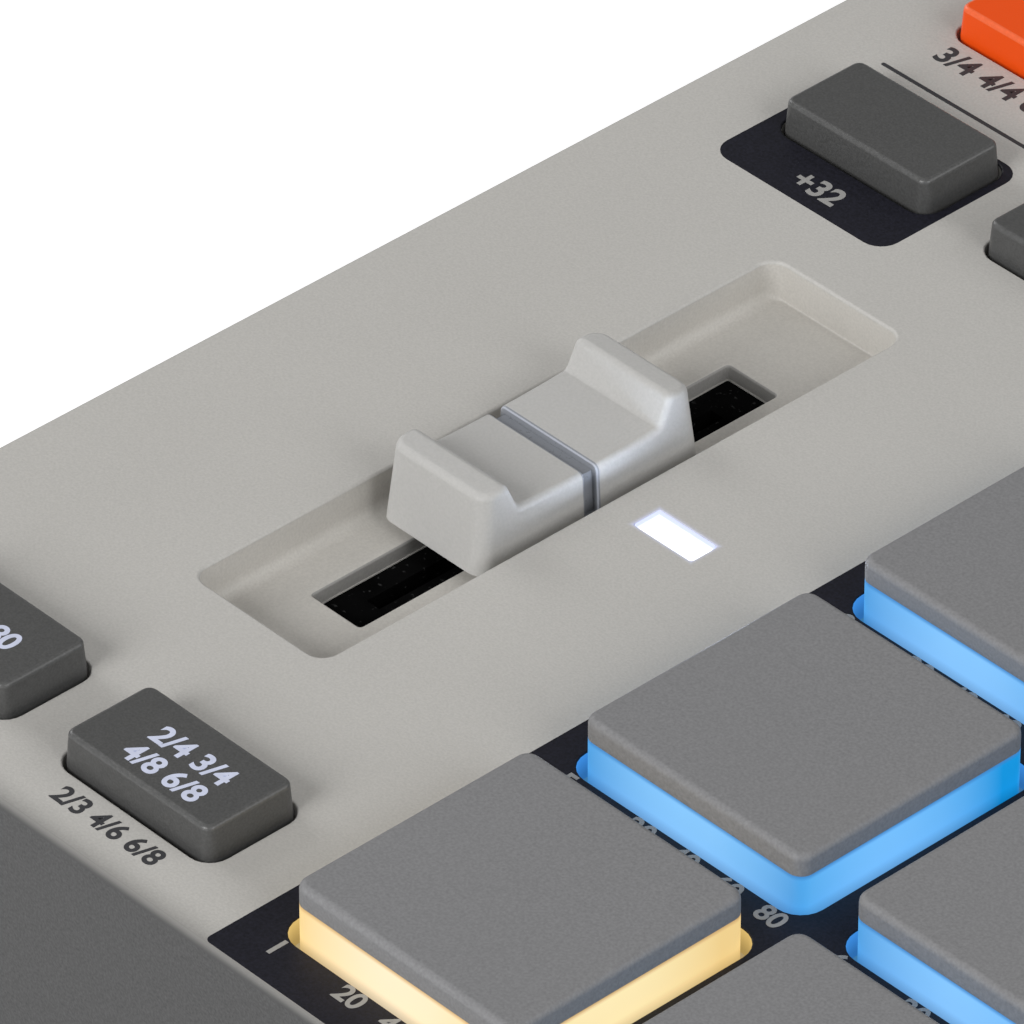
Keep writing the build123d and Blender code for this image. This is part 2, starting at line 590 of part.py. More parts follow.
# Shafts with a flat at the top, one for each knob and one for the dial
SHAFT_NAMES = [f"knob_shaft_{i}" for i in range(1, PAD_COUNT + 1)] + ["dial_shaft"]
FLAT_Z = SHAFT_TOP - SHAFT_FLAT_H
for name, centre in zip(SHAFT_NAMES, KNOB_AT + [DIAL_AT]):
    with BuildPart() as shaft:
        discs([centre], SHAFT_R, SHAFT_Z, FLAT_Z)
        shaft_section(centre, FLAT_Z, SHAFT_TOP, 0, Mode.ADD)
    keep(shaft, name)

# Knobs: a straight grip with flutes and a pointer slot
KNOB_Z = PANEL_Z + KNOB_GAP
KNOB_TOP = KNOB_Z + KNOB_H
KNOB_HALF = [
    (0, KNOB_Z), (KNOB_R, KNOB_Z), (KNOB_R, KNOB_TOP - KNOB_EDGE),
    (KNOB_R - KNOB_EDGE, KNOB_TOP), (0, KNOB_TOP),
]
POINTER_Y = KNOB_R - KNOB_EDGE - POINTER[1] / 2
for number, centre in enumerate(KNOB_AT, start=1):
    with BuildPart() as knob:
        turned(centre, KNOB_HALF)
        flutes(centre, KNOB_R, KNOB_FLUTES, KNOB_FLUTE, KNOB_Z, KNOB_TOP - KNOB_FLUTE_END)
        pointer_at = (centre[0], centre[1] + POINTER_Y)
        block(pointer_at, POINTER, 0, KNOB_TOP - POINTER_DEPTH, KNOB_TOP, Mode.SUBTRACT)
        discs([centre], BORE_R, KNOB_Z, FLAT_Z, Mode.SUBTRACT)
        shaft_section(centre, FLAT_Z, SHAFT_TOP, GRIP_FIT, Mode.SUBTRACT)
    keep(knob, f"knob_{number}")

# Dial: a broad fluted wheel with a dished top
DIAL_Z = PANEL_Z + KNOB_GAP
DIAL_TOP = DIAL_Z + DIAL_H
DIAL_HALF = [
    (0, DIAL_Z), (DIAL_R, DIAL_Z), (DIAL_R, DIAL_TOP - DIAL_EDGE), (DIAL_R - DIAL_EDGE, DIAL_TOP),
    (DIAL_DISH_R, DIAL_TOP), (DIAL_DISH_R - DIAL_DISH, DIAL_TOP - DIAL_DISH), (0, DIAL_TOP - DIAL_DISH),
]
with BuildPart() as dial:
    turned(DIAL_AT, DIAL_HALF)
    flutes(DIAL_AT, DIAL_R, DIAL_FLUTES, DIAL_FLUTE, DIAL_Z, DIAL_TOP - DIAL_FLUTE_END)
    discs([DIAL_AT], BORE_R, DIAL_Z, FLAT_Z, Mode.SUBTRACT)
    shaft_section(DIAL_AT, FLAT_Z, SHAFT_TOP, GRIP_FIT, Mode.SUBTRACT)
keep(dial, "dial")

# Display module under the panel and its lens in the pocket above
with BuildPart() as display_module:
    block(LENS_AT, DISPLAY_MODULE, 0, PANEL_UNDER - DISPLAY_H, PANEL_UNDER)
keep(display_module, "display_module")

with BuildPart() as display_lens:
    block(LENS_AT, LENS, LENS_CORNER, PANEL_Z - LENS_T, PANEL_Z)
keep(display_lens, "display_lens")

# Speaker: flange glued under the panel, basket and magnet, with the cone sunk in the front
SPEAKER_FLANGE_Z = PANEL_UNDER - SPEAKER_FLANGE_T
SPEAKER_FLOOR_Z = PANEL_UNDER - SPEAKER_CONE_DEPTH
SPEAKER_HALF = [
    (0, SPEAKER_BOTTOM), (SPEAKER_MAGNET_R, SPEAKER_BOTTOM), (SPEAKER_MAGNET_R, SPEAKER_NECK_Z),
    (SPEAKER_R, SPEAKER_FLANGE_Z), (SPEAKER_R, PANEL_UNDER), (SPEAKER_CONE_R, PANEL_UNDER),
    (SPEAKER_CONE_FLOOR_R, SPEAKER_FLOOR_Z), (0, SPEAKER_FLOOR_Z),
]
with BuildPart() as speaker_driver:
    turned(SPEAKER_AT, SPEAKER_HALF)
keep(speaker_driver, "speaker_driver")


def jacks(name, places, body, height, nose_radius, bore_radius):
    """A group of sockets: bodies on the main board, noses in the rear plate, bores right through."""
    with BuildPart() as sockets:
        for x, _ in places:
            block((x, INNER_Y - body[1] / 2), body, 0, MAIN_TOP, MAIN_TOP + height)
        with BuildSketch(NOSES) as noses:
            with Locations(*places):
                Circle(nose_radius)
        extrude(noses.sketch, amount=CASE_WALL - NOSE_SINK)
        with BuildSketch(NOSES) as bores:
            with Locations(*places):
                Circle(bore_radius)
        extrude(bores.sketch, amount=CASE_WALL - NOSE_SINK + body[1], mode=Mode.SUBTRACT)
    keep(sockets, name)


jacks("line_jacks", LINE_JACKS, LINE_JACK, LINE_JACK_H, LINE_JACK_NOSE_R, LINE_JACK_BORE_R)
jacks("mini_jacks", MINI_JACKS, MINI_JACK, MINI_JACK_H, MINI_JACK_NOSE_R, MINI_JACK_BORE_R)

# USB socket: a steel shell round a tongue
with BuildPart() as usb_socket:
    with BuildSketch(NOSES):
        with Locations(USB_AT):
            SlotOverall(USB[0], USB[1])
    extrude(amount=USB_LENGTH)
    with BuildSketch(NOSES):
        with Locations(USB_AT):
            SlotOverall(USB[0] - 2 * USB_WALL, USB[1] - 2 * USB_WALL)
            Rectangle(USB_TONGUE[0], USB_TONGUE[1], mode=Mode.SUBTRACT)
    extrude(amount=USB_LENGTH - USB_BACK, mode=Mode.SUBTRACT)
    with BuildSketch(NOSES):
        with Locations(USB_AT):
            Rectangle(USB_TONGUE[0], USB_TONGUE[1])
    extrude(amount=USB_LENGTH - USB_BACK - USB_TONGUE_LENGTH, mode=Mode.SUBTRACT)
keep(usb_socket, "usb_socket")

# Power slide switch: its body on the main board and the slider in the rear plate's slot
with BuildPart() as power_switch_body:
    block((POWER_AT[0], INNER_Y - POWER_BODY[1] / 2), POWER_BODY, 0, MAIN_TOP, MAIN_TOP + POWER_BODY_H)
    with BuildSketch(Plane.XZ.offset(-INNER_Y)):
        with Locations(POWER_AT):
            Rectangle(POWER_WELL[0], POWER_WELL[1])
    extrude(amount=POWER_SLIDER_LENGTH - CASE_WALL + POWER_GAP, mode=Mode.SUBTRACT)
keep(power_switch_body, "power_switch_body")

with BuildPart() as power_slider:
    with BuildSketch(NOSES) as knob_end:
        with Locations((POWER_AT[0] - POWER_TRAVEL / 2, POWER_AT[1])):
            Rectangle(POWER_SLIDER[0], POWER_SLIDER[1])
        chamfer(knob_end.vertices(), POWER_SLIDER_CORNER)
    extrude(amount=POWER_SLIDER_LENGTH - NOSE_SINK)
keep(power_slider, "power_slider")
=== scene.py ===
# %% [markdown]
# A portable sampler, dressed for the camera
# The solids of this sampler come packed as a fixed frame: a case, sixteen pads, push buttons, a fader,
# knobs and a dial. This lesson gives each of them its surface. Visible mouldings are modelled again with
# softer edges than solids have, the rest keep their own meshes, and every surface gets a finish made of
# nodes.

# %% Load the frame
import math

import bmesh
import bpy
from mathutils import Matrix, Vector


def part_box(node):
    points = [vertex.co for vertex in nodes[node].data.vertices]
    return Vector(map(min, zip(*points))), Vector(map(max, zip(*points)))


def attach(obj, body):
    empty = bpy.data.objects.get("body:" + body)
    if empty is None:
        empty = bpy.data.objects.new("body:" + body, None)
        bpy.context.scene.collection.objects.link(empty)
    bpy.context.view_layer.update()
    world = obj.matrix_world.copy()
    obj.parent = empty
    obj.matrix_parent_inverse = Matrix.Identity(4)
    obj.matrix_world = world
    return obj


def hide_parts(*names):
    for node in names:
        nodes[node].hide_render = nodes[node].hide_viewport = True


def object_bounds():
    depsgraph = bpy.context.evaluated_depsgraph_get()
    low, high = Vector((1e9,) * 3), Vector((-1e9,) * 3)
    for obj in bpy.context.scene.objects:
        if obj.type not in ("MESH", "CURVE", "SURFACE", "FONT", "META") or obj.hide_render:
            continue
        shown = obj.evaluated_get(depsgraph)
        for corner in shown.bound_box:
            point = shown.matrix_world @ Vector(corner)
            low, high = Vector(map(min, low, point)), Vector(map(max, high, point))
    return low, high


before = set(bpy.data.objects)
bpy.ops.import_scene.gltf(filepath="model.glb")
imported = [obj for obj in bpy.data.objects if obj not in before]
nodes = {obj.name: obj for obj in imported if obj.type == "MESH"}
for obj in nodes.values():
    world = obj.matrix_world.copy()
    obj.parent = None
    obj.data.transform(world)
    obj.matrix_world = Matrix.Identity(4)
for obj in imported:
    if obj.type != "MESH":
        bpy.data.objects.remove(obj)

cad_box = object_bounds()
MM = 0.001


def middle(node):
    """The middle of a node of the frame."""
    low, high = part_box(node)
    return (low + high) / 2


def added(name, data):
    """A new object in the scene, made of this data."""
    made = bpy.data.objects.new(name, data)
    bpy.context.scene.collection.objects.link(made)
    return made


# %% [markdown]
# The camera comes first, because every later choice is judged through it. The view is a close one from
# the front right with a long lens, so lines hardly converge. A target on the panel, a heading from there
# and a distance place it.

# %% Camera
CAMERA_BEARING, CAMERA_ELEVATION = 47.232, 36.762
TARGET = Vector((-58.26, -63.52, 40.0)) * MM
DISTANCE = 812.07 * MM
LENS_MM, SENSOR_MM = 356.87, 36.0


def heading(bearing, elevation):
    """A direction given in degrees: the bearing from the front, turning right, and the elevation."""
    turn, tilt = math.radians(bearing), math.radians(elevation)
    level = Vector((math.sin(turn), -math.cos(turn), 0.0))
    return level * math.cos(tilt) + Vector((0.0, 0.0, math.sin(tilt)))


def stand(thing, away):
    """Put a camera or a lamp this far from the target and turn it to face the target."""
    thing.location = TARGET + away
    thing.rotation_euler = away.to_track_quat("Z", "Y").to_euler()


camera = added("camera", bpy.data.cameras.new("camera"))
camera.data.lens = LENS_MM
camera.data.sensor_width = SENSOR_MM
camera.data.sensor_fit = "HORIZONTAL"
stand(camera, heading(CAMERA_BEARING, CAMERA_ELEVATION) * DISTANCE)
bpy.context.scene.camera = camera
print("camera stands at", [round(c / MM) for c in camera.location], "mm")

# %% [markdown]
# Finishes are node trees, and node trees are easier to read as sums. A Wire stands for one output socket,
# so that two of them can be added, scaled or compared in plain Python, and each such step adds a Math
# node.


# %% Wires
class Wire:
    """An output socket that can stand in a sum."""

    def __init__(self, finish, socket):
        self.finish = finish
        self.socket = socket

    def math(self, operation, first, second):
        return self.finish.node("ShaderNodeMath", {"operation": operation}, {0: first, 1: second})

    def __add__(self, other):
        return self.math("ADD", self, other)

    def __sub__(self, other):
        return self.math("SUBTRACT", self, other)

    def __rsub__(self, other):
        return self.math("SUBTRACT", other, self)

    def __mul__(self, other):
        return self.math("MULTIPLY", self, other)

    def __truediv__(self, other):
        return self.math("DIVIDE", self, other)

    def __lt__(self, other):
        return self.math("LESS_THAN", self, other)

    def __abs__(self):
        return self.math("ABSOLUTE", self, 0.0)

    __radd__ = __add__
    __rmul__ = __mul__


def clamped(value):
    """A value kept between 0 and 1."""
    return value.math("MAXIMUM", value.math("MINIMUM", value, 1.0), 0.0)


# %% [markdown]
# A Finish is one material under construction. Its node method adds any kind of node, a few short methods
# stand for the nodes that come up most, and its shade method fills in the shader's own sockets. Every
# pattern reads the place on the object, so it stays put when the object moves.


# %% Finishes
class Finish:
    """A material under construction."""

    def __init__(self, name):
        self.material = bpy.data.materials.new(name)
        self.material.use_nodes = True
        self.tree = self.material.node_tree
        self.shader = self.tree.nodes["Principled BSDF"]
        self.place = self.node("ShaderNodeTexCoord", out="Object")

    def plug(self, socket, value):
        """Link a wire to a socket, or set a plain value on it."""
        if isinstance(value, Wire):
            self.tree.links.new(value.socket, socket)
        elif socket.type == "RGBA":
            socket.default_value = (*value, 1.0)
        else:
            socket.default_value = value

    def node(self, kind, settings=None, sockets=None, out=0):
        """Add a node: its type, its settings, then the values or links of its sockets."""
        made = self.tree.nodes.new(kind)
        for key, value in (settings or {}).items():
            setattr(made, key, value)
        for key, value in (sockets or {}).items():
            self.plug(made.inputs[key], value)
        return Wire(self, made.outputs[out])

    def noise(self, size, detail=2.0, stretch=(1.0, 1.0, 1.0)):
        """A cloudy value from 0 to 1 whose spots are about this size."""
        spread = self.node("ShaderNodeMapping", {}, {"Vector": self.place, "Scale": stretch})
        return self.node("ShaderNodeTexNoise", {}, {"Vector": spread, "Scale": 1 / size, "Detail": detail})

    def tone(self, colour, shade):
        """A colour made lighter or darker by a value."""
        return self.node("ShaderNodeVectorMath", {"operation": "SCALE"}, {0: colour, "Scale": shade})

    def mix(self, share, first, second):
        """One colour turning into another as the share goes from 0 to 1."""
        sockets = {"Factor": share, 6: first, 7: second}
        return self.node("ShaderNodeMix", {"data_type": "RGBA"}, sockets, out=2)

    def axis(self, name):
        """The X, Y or Z of the place on the object, in metres."""
        return self.node("ShaderNodeSeparateXYZ", {}, {0: self.place}, out=name)

    def bump(self, height, depth):
        """A normal that follows a height of 0 to 1, this deep in metres."""
        return self.node("ShaderNodeBump", {}, {"Height": height, "Distance": depth})

    def shade(self, sockets):
        """Fill in the shader's own sockets and hand the finish back."""
        for key, value in sockets.items():
            self.plug(self.shader.inputs[key], value)
        return self

    def lit(self, colour, rough, light, strength=1.0):
        """Fill in a finish that gives light of its own."""
        return self.shade({
            "Base Color": colour, "Roughness": rough, "Emission Color": light, "Emission Strength": strength,
        })


# %% [markdown]
# Most of the sampler is injection-moulded plastic with a spark-eroded skin: no large spots, only a fine
# grain that scatters the light, and a colour that drifts very slightly over the hand's breadth. One
# recipe with a colour, a grain and a roughness makes all of those plastics, so that they look like one
# family.

# %% Moulded plastic
CLOUD, CLOUD_SHADE = 22 * MM, 0.06
GRAIN_DETAIL, GRAIN_ROUGH = 3.0, 0.16
EDGE_REACH, EDGE_SHADE = 3.4 * MM, 0.50


def by_the_edge(finish):
    """Painted shade: a shade that drops over the last millimetres before the front edge, as on an edge that
    rolls off gently.
    """
    rest = 1.0 - clamped((finish.axis("Y") - cad_box[0].y) / EDGE_REACH)
    return 1.0 - EDGE_SHADE * rest * rest


def moulded(name, colour, grain, depth, rough, mottle=0.05, extra=None, fade=None):
    """Matt plastic. The grain's size and depth are in millimetres, and it mottles the colour by a share."""
    finish = Finish(name)
    grains = finish.noise(grain * MM, GRAIN_DETAIL)
    clouds = finish.noise(CLOUD)
    shade = 1.0 + (grains - 0.5) * mottle + (clouds - 0.5) * CLOUD_SHADE
    # fade, where one is given, is painted shade, such as the darker front edge of the panel
    if fade:
        shade = shade * fade(finish)
    sockets = {
        "Base Color": finish.tone(colour, shade),
        "Roughness": rough + (grains - 0.5) * GRAIN_ROUGH,
        "Normal": finish.bump(grains, depth * MM),
    }
    sockets.update(extra or {})
    return finish.shade(sockets)


# %% [markdown]
# Each plastic is then one line: its colour, the size and depth of its grain in millimetres, its roughness
# and how far the grain mottles it.

# %% The sampler's plastics
DULL = {"Specular IOR Level": 0.2}
PANEL_COLOUR, CASE_COLOUR = (0.449, 0.437, 0.413), (0.0465, 0.0465, 0.0468)
# the panel grey carries painted shade towards its front edge
panel_grey = moulded("panel_grey", PANEL_COLOUR, 0.22, 0.016, 0.50, 0.34, fade=by_the_edge)
# painted light: the tub is the panel's plastic, made lighter and warmer for the light that bounces inside it
tub_painted_light = moulded("tub_painted_light", (0.475, 0.457, 0.424), 0.22, 0.016, 0.50, 0.34)
# painted shade: a darker copy of the panel grey for the slot walls, where less light reaches
slot_painted_shade = moulded("slot_painted_shade", (0.29, 0.284, 0.272), 0.22, 0.016, 0.60, 0.34)
case_grey = moulded("case_grey", CASE_COLOUR, 0.24, 0.030, 0.62, 2.0)
button_grey = moulded("button_grey", (0.062, 0.062, 0.061), 0.20, 0.010, 0.42, 0.9)
# painted highlight with wear: the rounded edges of the buttons are lighter than their tops, and smoother
button_wear_and_highlight = moulded("button_wear_and_highlight", (0.075, 0.075, 0.074), 0.30, 0.008, 0.36, 0.7)
orange = moulded("orange", (0.79, 0.077, 0.005), 0.22, 0.010, 0.42, 0.05, DULL)
# painted highlight with wear, as on the grey buttons
orange_wear_and_highlight = moulded("orange_wear_and_highlight", (0.80, 0.12, 0.03), 0.30, 0.008, 0.34, 0.25)
pad_grey = moulded("pad_grey", (0.184, 0.184, 0.188), 0.25, 0.012, 0.60, 0.62)
navy_print = moulded("navy_print", (0.0090, 0.0090, 0.0150), 0.24, 0.010, 0.46, 2.0, DULL)
dark_print = moulded("dark_print", (0.030, 0.030, 0.034), 0.35, 0.010, 0.50)
pale_print = moulded("pale_print", (0.29, 0.285, 0.275), 0.35, 0.010, 0.50)
knob_black = moulded("knob_black", (0.040, 0.040, 0.041), 0.25, 0.012, 0.45, 0.1)
white_inlay = moulded("white_inlay", (0.70, 0.70, 0.68), 0.30, 0.008, 0.45)
black_plastic = moulded("black_plastic", (0.018, 0.018, 0.019), 0.30, 0.012, 0.45, 0.15)
rubber = moulded("rubber", (0.022, 0.022, 0.022), 0.60, 0.050, 0.80, 0.3)
print("plastics made:", len(bpy.data.materials))

# %% [markdown]
# The fader cap is a milky plastic: light sinks in a little and comes out again, which softens its edges.
# A small subsurface share does that. Its groove holds a darker, cooler strip with a pale line along its
# far side, a painted highlight.

# %% Fader cap finishes
MILKY = {
    **DULL, "Subsurface Weight": 0.35, "Subsurface Radius": (1.0, 1.0, 1.0), "Subsurface Scale": 0.8 * MM,
}
fader_milky = moulded("fader_milky", (0.437, 0.431, 0.418), 0.25, 0.006, 0.46, 0.21, MILKY)
fader_groove = moulded("fader_groove", (0.228, 0.240, 0.264), 0.30, 0.006, 0.30, 0.08)
# painted highlight: the pale line in the groove
groove_painted_highlight = moulded("groove_painted_highlight", (0.40, 0.42, 0.47), 0.30, 0.006, 0.30, 0.08)
print("plastics with those of the cap:", len(bpy.data.materials))

# %% [markdown]
# The pads are lit from below: a translucent skirt under the grey top carries the light of a lamp on the
# board. Its colour is palest near the middle of a side and deeper towards the corners, dimmer down in the
# gap and darkest in a hair's breadth under the grey coat. On the left and right sides it is deeper than
# on the front, and palest a little in front of the middle, where the lamp is. Folding the place into one
# pad's width, with a ping-pong, lets one finish serve the whole grid.

# %% Glowing skirts
PANEL_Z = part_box("top_panel")[1].z
SKIRT_TOP, COAT_SHADE = PANEL_Z + 2.95 * MM, 0.45 * MM
GAP_LOW, GAP_DIM = PANEL_Z - 2.0 * MM, 0.45
PAD_PITCH, PAD_HALF = 29.9 * MM, 12.2 * MM
SIDE_PEAK, CORNER_BLEND = 2.7 * MM, 2.0 * MM
GLOW_CLOUD, GLOW_DRIFT = 6.0 * MM, 0.2
first_pad = middle("pad_01")


def up_the_gap(finish):
    """From 0 at the foot of a pad's gap to 1 at the top of the panel."""
    return clamped((finish.axis("Z") - GAP_LOW) / (PANEL_Z - GAP_LOW))


def glowing(name, front_colours, side_colours, coat_colour):
    """A translucent skirt lit from below, given the colours of the middle and the corners of its sides."""
    finish = Finish(name)
    clouds = finish.noise(GLOW_CLOUD)

    def from_middle(axis, shift=0.0):
        """How far a place is from the middle of its pad, or from a point beside it."""
        offset = finish.axis(axis) - getattr(first_pad, axis.lower()) + shift
        return offset.math("PINGPONG", offset, PAD_PITCH / 2)

    def turned(distance, colours):
        """From the colour of the middle to that of the corners."""
        share = distance / PAD_HALF
        return finish.mix(clamped(share * share + (clouds - 0.5) * GLOW_DRIFT), *colours)

    across, along = from_middle("X"), from_middle("Y")
    front = turned(across, front_colours)
    side = turned(from_middle("Y", SIDE_PEAK), side_colours)
    glow = finish.mix(clamped((across - along) / CORNER_BLEND + 0.5), front, side)
    dimmed = finish.tone(glow, GAP_DIM + (1.0 - GAP_DIM) * up_the_gap(finish))
    below_coat = clamped((SKIRT_TOP - finish.axis("Z")) / COAT_SHADE)
    body = finish.tone(side_colours[1], 0.2 + 0.1 * clouds)
    return finish.lit(body, 0.4 + 0.1 * clouds, finish.mix(below_coat, coat_colour, dimmed))


BLUE_FRONT = (0.24, 0.53, 0.88), (0.062, 0.285, 0.63)
BLUE_SIDE = (0.175, 0.48, 0.87), (0.005, 0.265, 0.63)
WARM_FRONT = (0.85, 0.745, 0.55), (0.79, 0.555, 0.215)
WARM_SIDE = (0.90, 0.755, 0.43), (0.78, 0.56, 0.235)
blue_glow = glowing("blue_glow", BLUE_FRONT, BLUE_SIDE, (0.05, 0.19, 0.46))
warm_glow = glowing("warm_glow", WARM_FRONT, WARM_SIDE, (0.50, 0.30, 0.12))
print("first pad at", [round(c / MM, 2) for c in first_pad.xy], "mm")

# %% [markdown]
# The wall of the gap facing a skirt takes on its light. A renderer could carry that light over by itself,
# but only with many samples, so the wall gets a dim glow of its own, dimmer towards its foot.

# %% Lit gaps
GAP_CLOUD, GAP_RISE = 3.0 * MM, 0.4


def lit_gap(name, colour):
    """The wall round a lit pad."""
    finish = Finish(name)
    body = finish.tone(colour, 0.2 + 0.05 * finish.noise(GAP_CLOUD))
    return finish.lit(body, 0.5, finish.tone(colour, GAP_DIM + GAP_RISE * up_the_gap(finish)))


blue_gap = lit_gap("blue_gap", (0.05, 0.28, 0.74))
warm_gap = lit_gap("warm_gap", (0.70, 0.49, 0.16))
print("gap walls lit from", round(GAP_LOW / MM, 2), "mm upwards")

# %% [markdown]
# A small window beside the fader is lit white. Its face is just brighter than white, which keeps its
# edges smooth, and along the far side and the left end runs a cooler rim, painted into the window's own
# light for the light that falls on the wall of the opening. The panel round it has a faint halo of painted
# light, a glow in the panel itself.

# %% Lit window
WINDOW_SIZE, WINDOW_SHIFT = Vector((6.7, 2.9)) * MM, Vector((0.05, 0.1, 0.0)) * MM
WINDOW_RIM, WINDOW_FADE = 0.42 * MM, 0.45 * MM
WINDOW_CLOUD, WINDOW_DRIFT = 1.5 * MM, 0.3
HALO, PAINTED_HALO_COLOUR = 0.5 * MM, (0.13, 0.16, 0.34)
window_mid = middle("fader_light") + WINDOW_SHIFT


def lit_window():
    """White light with a cool rim on two sides."""
    finish = Finish("lit_window")
    from_left = finish.axis("X") - (window_mid.x - WINDOW_SIZE.x / 2)
    from_far = (window_mid.y + WINDOW_SIZE.y / 2) - finish.axis("Y")
    nearest = from_left.math("MINIMUM", from_left, from_far)
    clouds = finish.noise(WINDOW_CLOUD)
    share = clamped((nearest - WINDOW_RIM) / WINDOW_FADE + (clouds - 0.5) * WINDOW_DRIFT)
    body = finish.tone((0.34, 0.35, 0.39), 0.9 + 0.1 * clouds)
    # painted light: the cooler rim stands in for light on the wall of the opening
    light = finish.mix(share, (0.34, 0.38, 0.53), (0.96, 0.98, 1.0))
    return finish.lit(body, 0.3 + 0.1 * clouds, light, strength=1.4)


def halo(finish, colour):
    """Painted light: a faint glow in the panel round the window, though the panel is no lamp."""
    past_side = abs(finish.axis("X") - window_mid.x) - WINDOW_SIZE.x / 2
    past_end = abs(finish.axis("Y") - window_mid.y) - WINDOW_SIZE.y / 2
    far = past_side.math("MAXIMUM", past_side, past_end)
    near = 1.0 - far / HALO
    near = near.math("MAXIMUM", near, 0.0)
    finish.shade({"Emission Color": finish.tone(colour, near * near), "Emission Strength": 1.0})


lit_white = lit_window()
halo(panel_grey, PAINTED_HALO_COLOUR)
print("window middle", [round(c / MM, 2) for c in window_mid])

# %% [markdown]
# The marks on two of the buttons are clear plastic with a lamp behind, so they are a little brighter and
# bluer than white paint. A weak glow over a pale colour is enough.

# %% Lit print
LETTER_CLOUD, LETTER_GLOW = 1.2 * MM, 0.45


def lit_letters():
    """Pale print with light behind it."""
    finish = Finish("lit_print")
    clouds = finish.noise(LETTER_CLOUD)
    body = finish.tone((0.30, 0.31, 0.36), 0.9 + 0.2 * clouds)
    light = finish.tone((0.55, 0.60, 0.80), 0.8 + 0.4 * clouds)
    return finish.lit(body, 0.4 + 0.1 * clouds, light, LETTER_GLOW)


lit_print = lit_letters()
print("lit print glows at", LETTER_GLOW)

# %% [markdown]
# Small things get their own recipes: the black sheet in the fader slot with a little dust on it, plated
# and turned metal with lines drawn out along one axis, a green board with its tracks, and the foil of the
# battery.

# %% Film, metal and board
SPECK, SPECK_LEVEL, SPECK_GAIN = 0.5 * MM, 0.64, 7.0
FILM_BLACK, DUST_GREY, FILM_CLOUD = (0.0075, 0.0075, 0.0077), (0.06, 0.06, 0.06), 4.0 * MM
DRAWN_LINE, DRAWN_DEPTH = 0.3 * MM, 0.004 * MM
TRACK_BEND, TRACK_SHARE = 5.0 * MM, 0.012


def dusty_black():
    """Black film with a few pale specks."""
    finish = Finish("dusty_black")
    specks = (finish.noise(SPECK, GRAIN_DETAIL) - SPECK_LEVEL) * SPECK_GAIN
    clouds = finish.noise(FILM_CLOUD)
    return finish.shade({
        "Base Color": finish.mix(specks, finish.tone(FILM_BLACK, clouds), DUST_GREY),
        "Roughness": 0.5 + 0.2 * clouds,
        "Specular IOR Level": 0.0,
    })


def metal(name, colour, rough, stretch):
    """Metal with fine drawn lines."""
    finish = Finish(name)
    lines = finish.noise(DRAWN_LINE, GRAIN_DETAIL, stretch)
    return finish.shade({
        "Base Color": finish.tone(colour, 0.94 + 0.12 * lines),
        "Roughness": rough + (lines - 0.5) * 0.2,
        "Normal": finish.bump(lines, DRAWN_DEPTH),
        "Metallic": 1.0,
    })


def circuit_board():
    """Green solder mask with paler tracks."""
    finish = Finish("circuit_board")
    tracks = abs(finish.noise(TRACK_BEND) - 0.5) < TRACK_SHARE
    return finish.shade({
        "Base Color": finish.mix(tracks, (0.010, 0.075, 0.030), (0.030, 0.160, 0.070)),
        "Roughness": 0.35 + 0.1 * tracks,
    })


dust_film = dusty_black()
steel = metal("steel", (0.56, 0.56, 0.57), 0.32, stretch=(1.0, 1.0, 0.06))
aluminium = metal("aluminium", (0.72, 0.72, 0.73), 0.30, stretch=(1.0, 1.0, 8.0))
foil = metal("foil", (0.55, 0.55, 0.56), 0.38, stretch=(0.2, 1.0, 1.0))
board_green = circuit_board()
print("finishes made:", len(bpy.data.materials))

# %% [markdown]
# The display shows a plain wave between two rulings. It is drawn by arithmetic: the height of the wave at
# each X is a product of two sines, and a place glows where its distance from the middle line is less than
# that height.

# %% Display finish
lens_low, lens_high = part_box("display_lens")
lens_mid = middle("display_lens")
SCREEN, WAVE_TALL = Vector((60.0, 34.0)) * MM, 10.0 * MM
BAR_PITCH, BAR_SHARE = 1.2 * MM, 0.7
SWELL_TURN, RIPPLE_TURN = 0.123, 1.9
RULING_AT, RULING_HALF = 13.0 * MM, 0.15 * MM
GLASS_CLOUD, GLASS_SMEAR = 5.0 * MM, 12.0 * MM


def wave_screen():
    """Dark glass over a screen with a wave in bars."""
    finish = Finish("wave_screen")
    across = finish.axis("X") - lens_mid.x
    upward = finish.axis("Y") - lens_mid.y
    bar = finish.node("ShaderNodeMath", {"operation": "FLOOR"}, {0: across / BAR_PITCH})
    swell = finish.node("ShaderNodeMath", {"operation": "SINE"}, {0: bar * SWELL_TURN})
    ripple = finish.node("ShaderNodeMath", {"operation": "SINE"}, {0: bar * RIPPLE_TURN})
    tall = abs(swell * (0.65 + 0.35 * ripple)) * WAVE_TALL
    inside = (abs(across) < SCREEN.x / 2) * (abs(upward) < SCREEN.y / 2)
    wave = (abs(upward) < tall) * inside * ((across / BAR_PITCH - bar) < BAR_SHARE)
    ruling = (abs(abs(upward) - RULING_AT) < RULING_HALF) * inside
    ground = finish.mix(inside, (0.0, 0.0, 0.0), (0.006, 0.010, 0.018))
    ruled = finish.mix(ruling, ground, (0.10, 0.12, 0.14))
    body = finish.tone((0.008, 0.008, 0.010), 1.0 + 0.1 * finish.noise(GLASS_CLOUD))
    rough = 0.08 + 0.04 * finish.noise(GLASS_SMEAR)
    return finish.lit(body, rough, finish.mix(wave, ruled, (0.30, 0.62, 0.90)))


screen_glass = wave_screen()
print("screen", [round(c / MM, 1) for c in SCREEN], "mm")

# %% [markdown]
# Now the meshes. Nearly every moulding here is a rounded rectangle that goes up or down in steps, so it
# starts as a flat plate: a grid of one face whose corners are bevelled. Knobs and bosses start as a disc
# instead.

# %% Plates and discs
ARC_STEPS = 6
DISC_SIDES = 24


def grown(size, rim):
    """A size with a rim added on every side."""
    return (size[0] + 2 * rim, size[1] + 2 * rim)


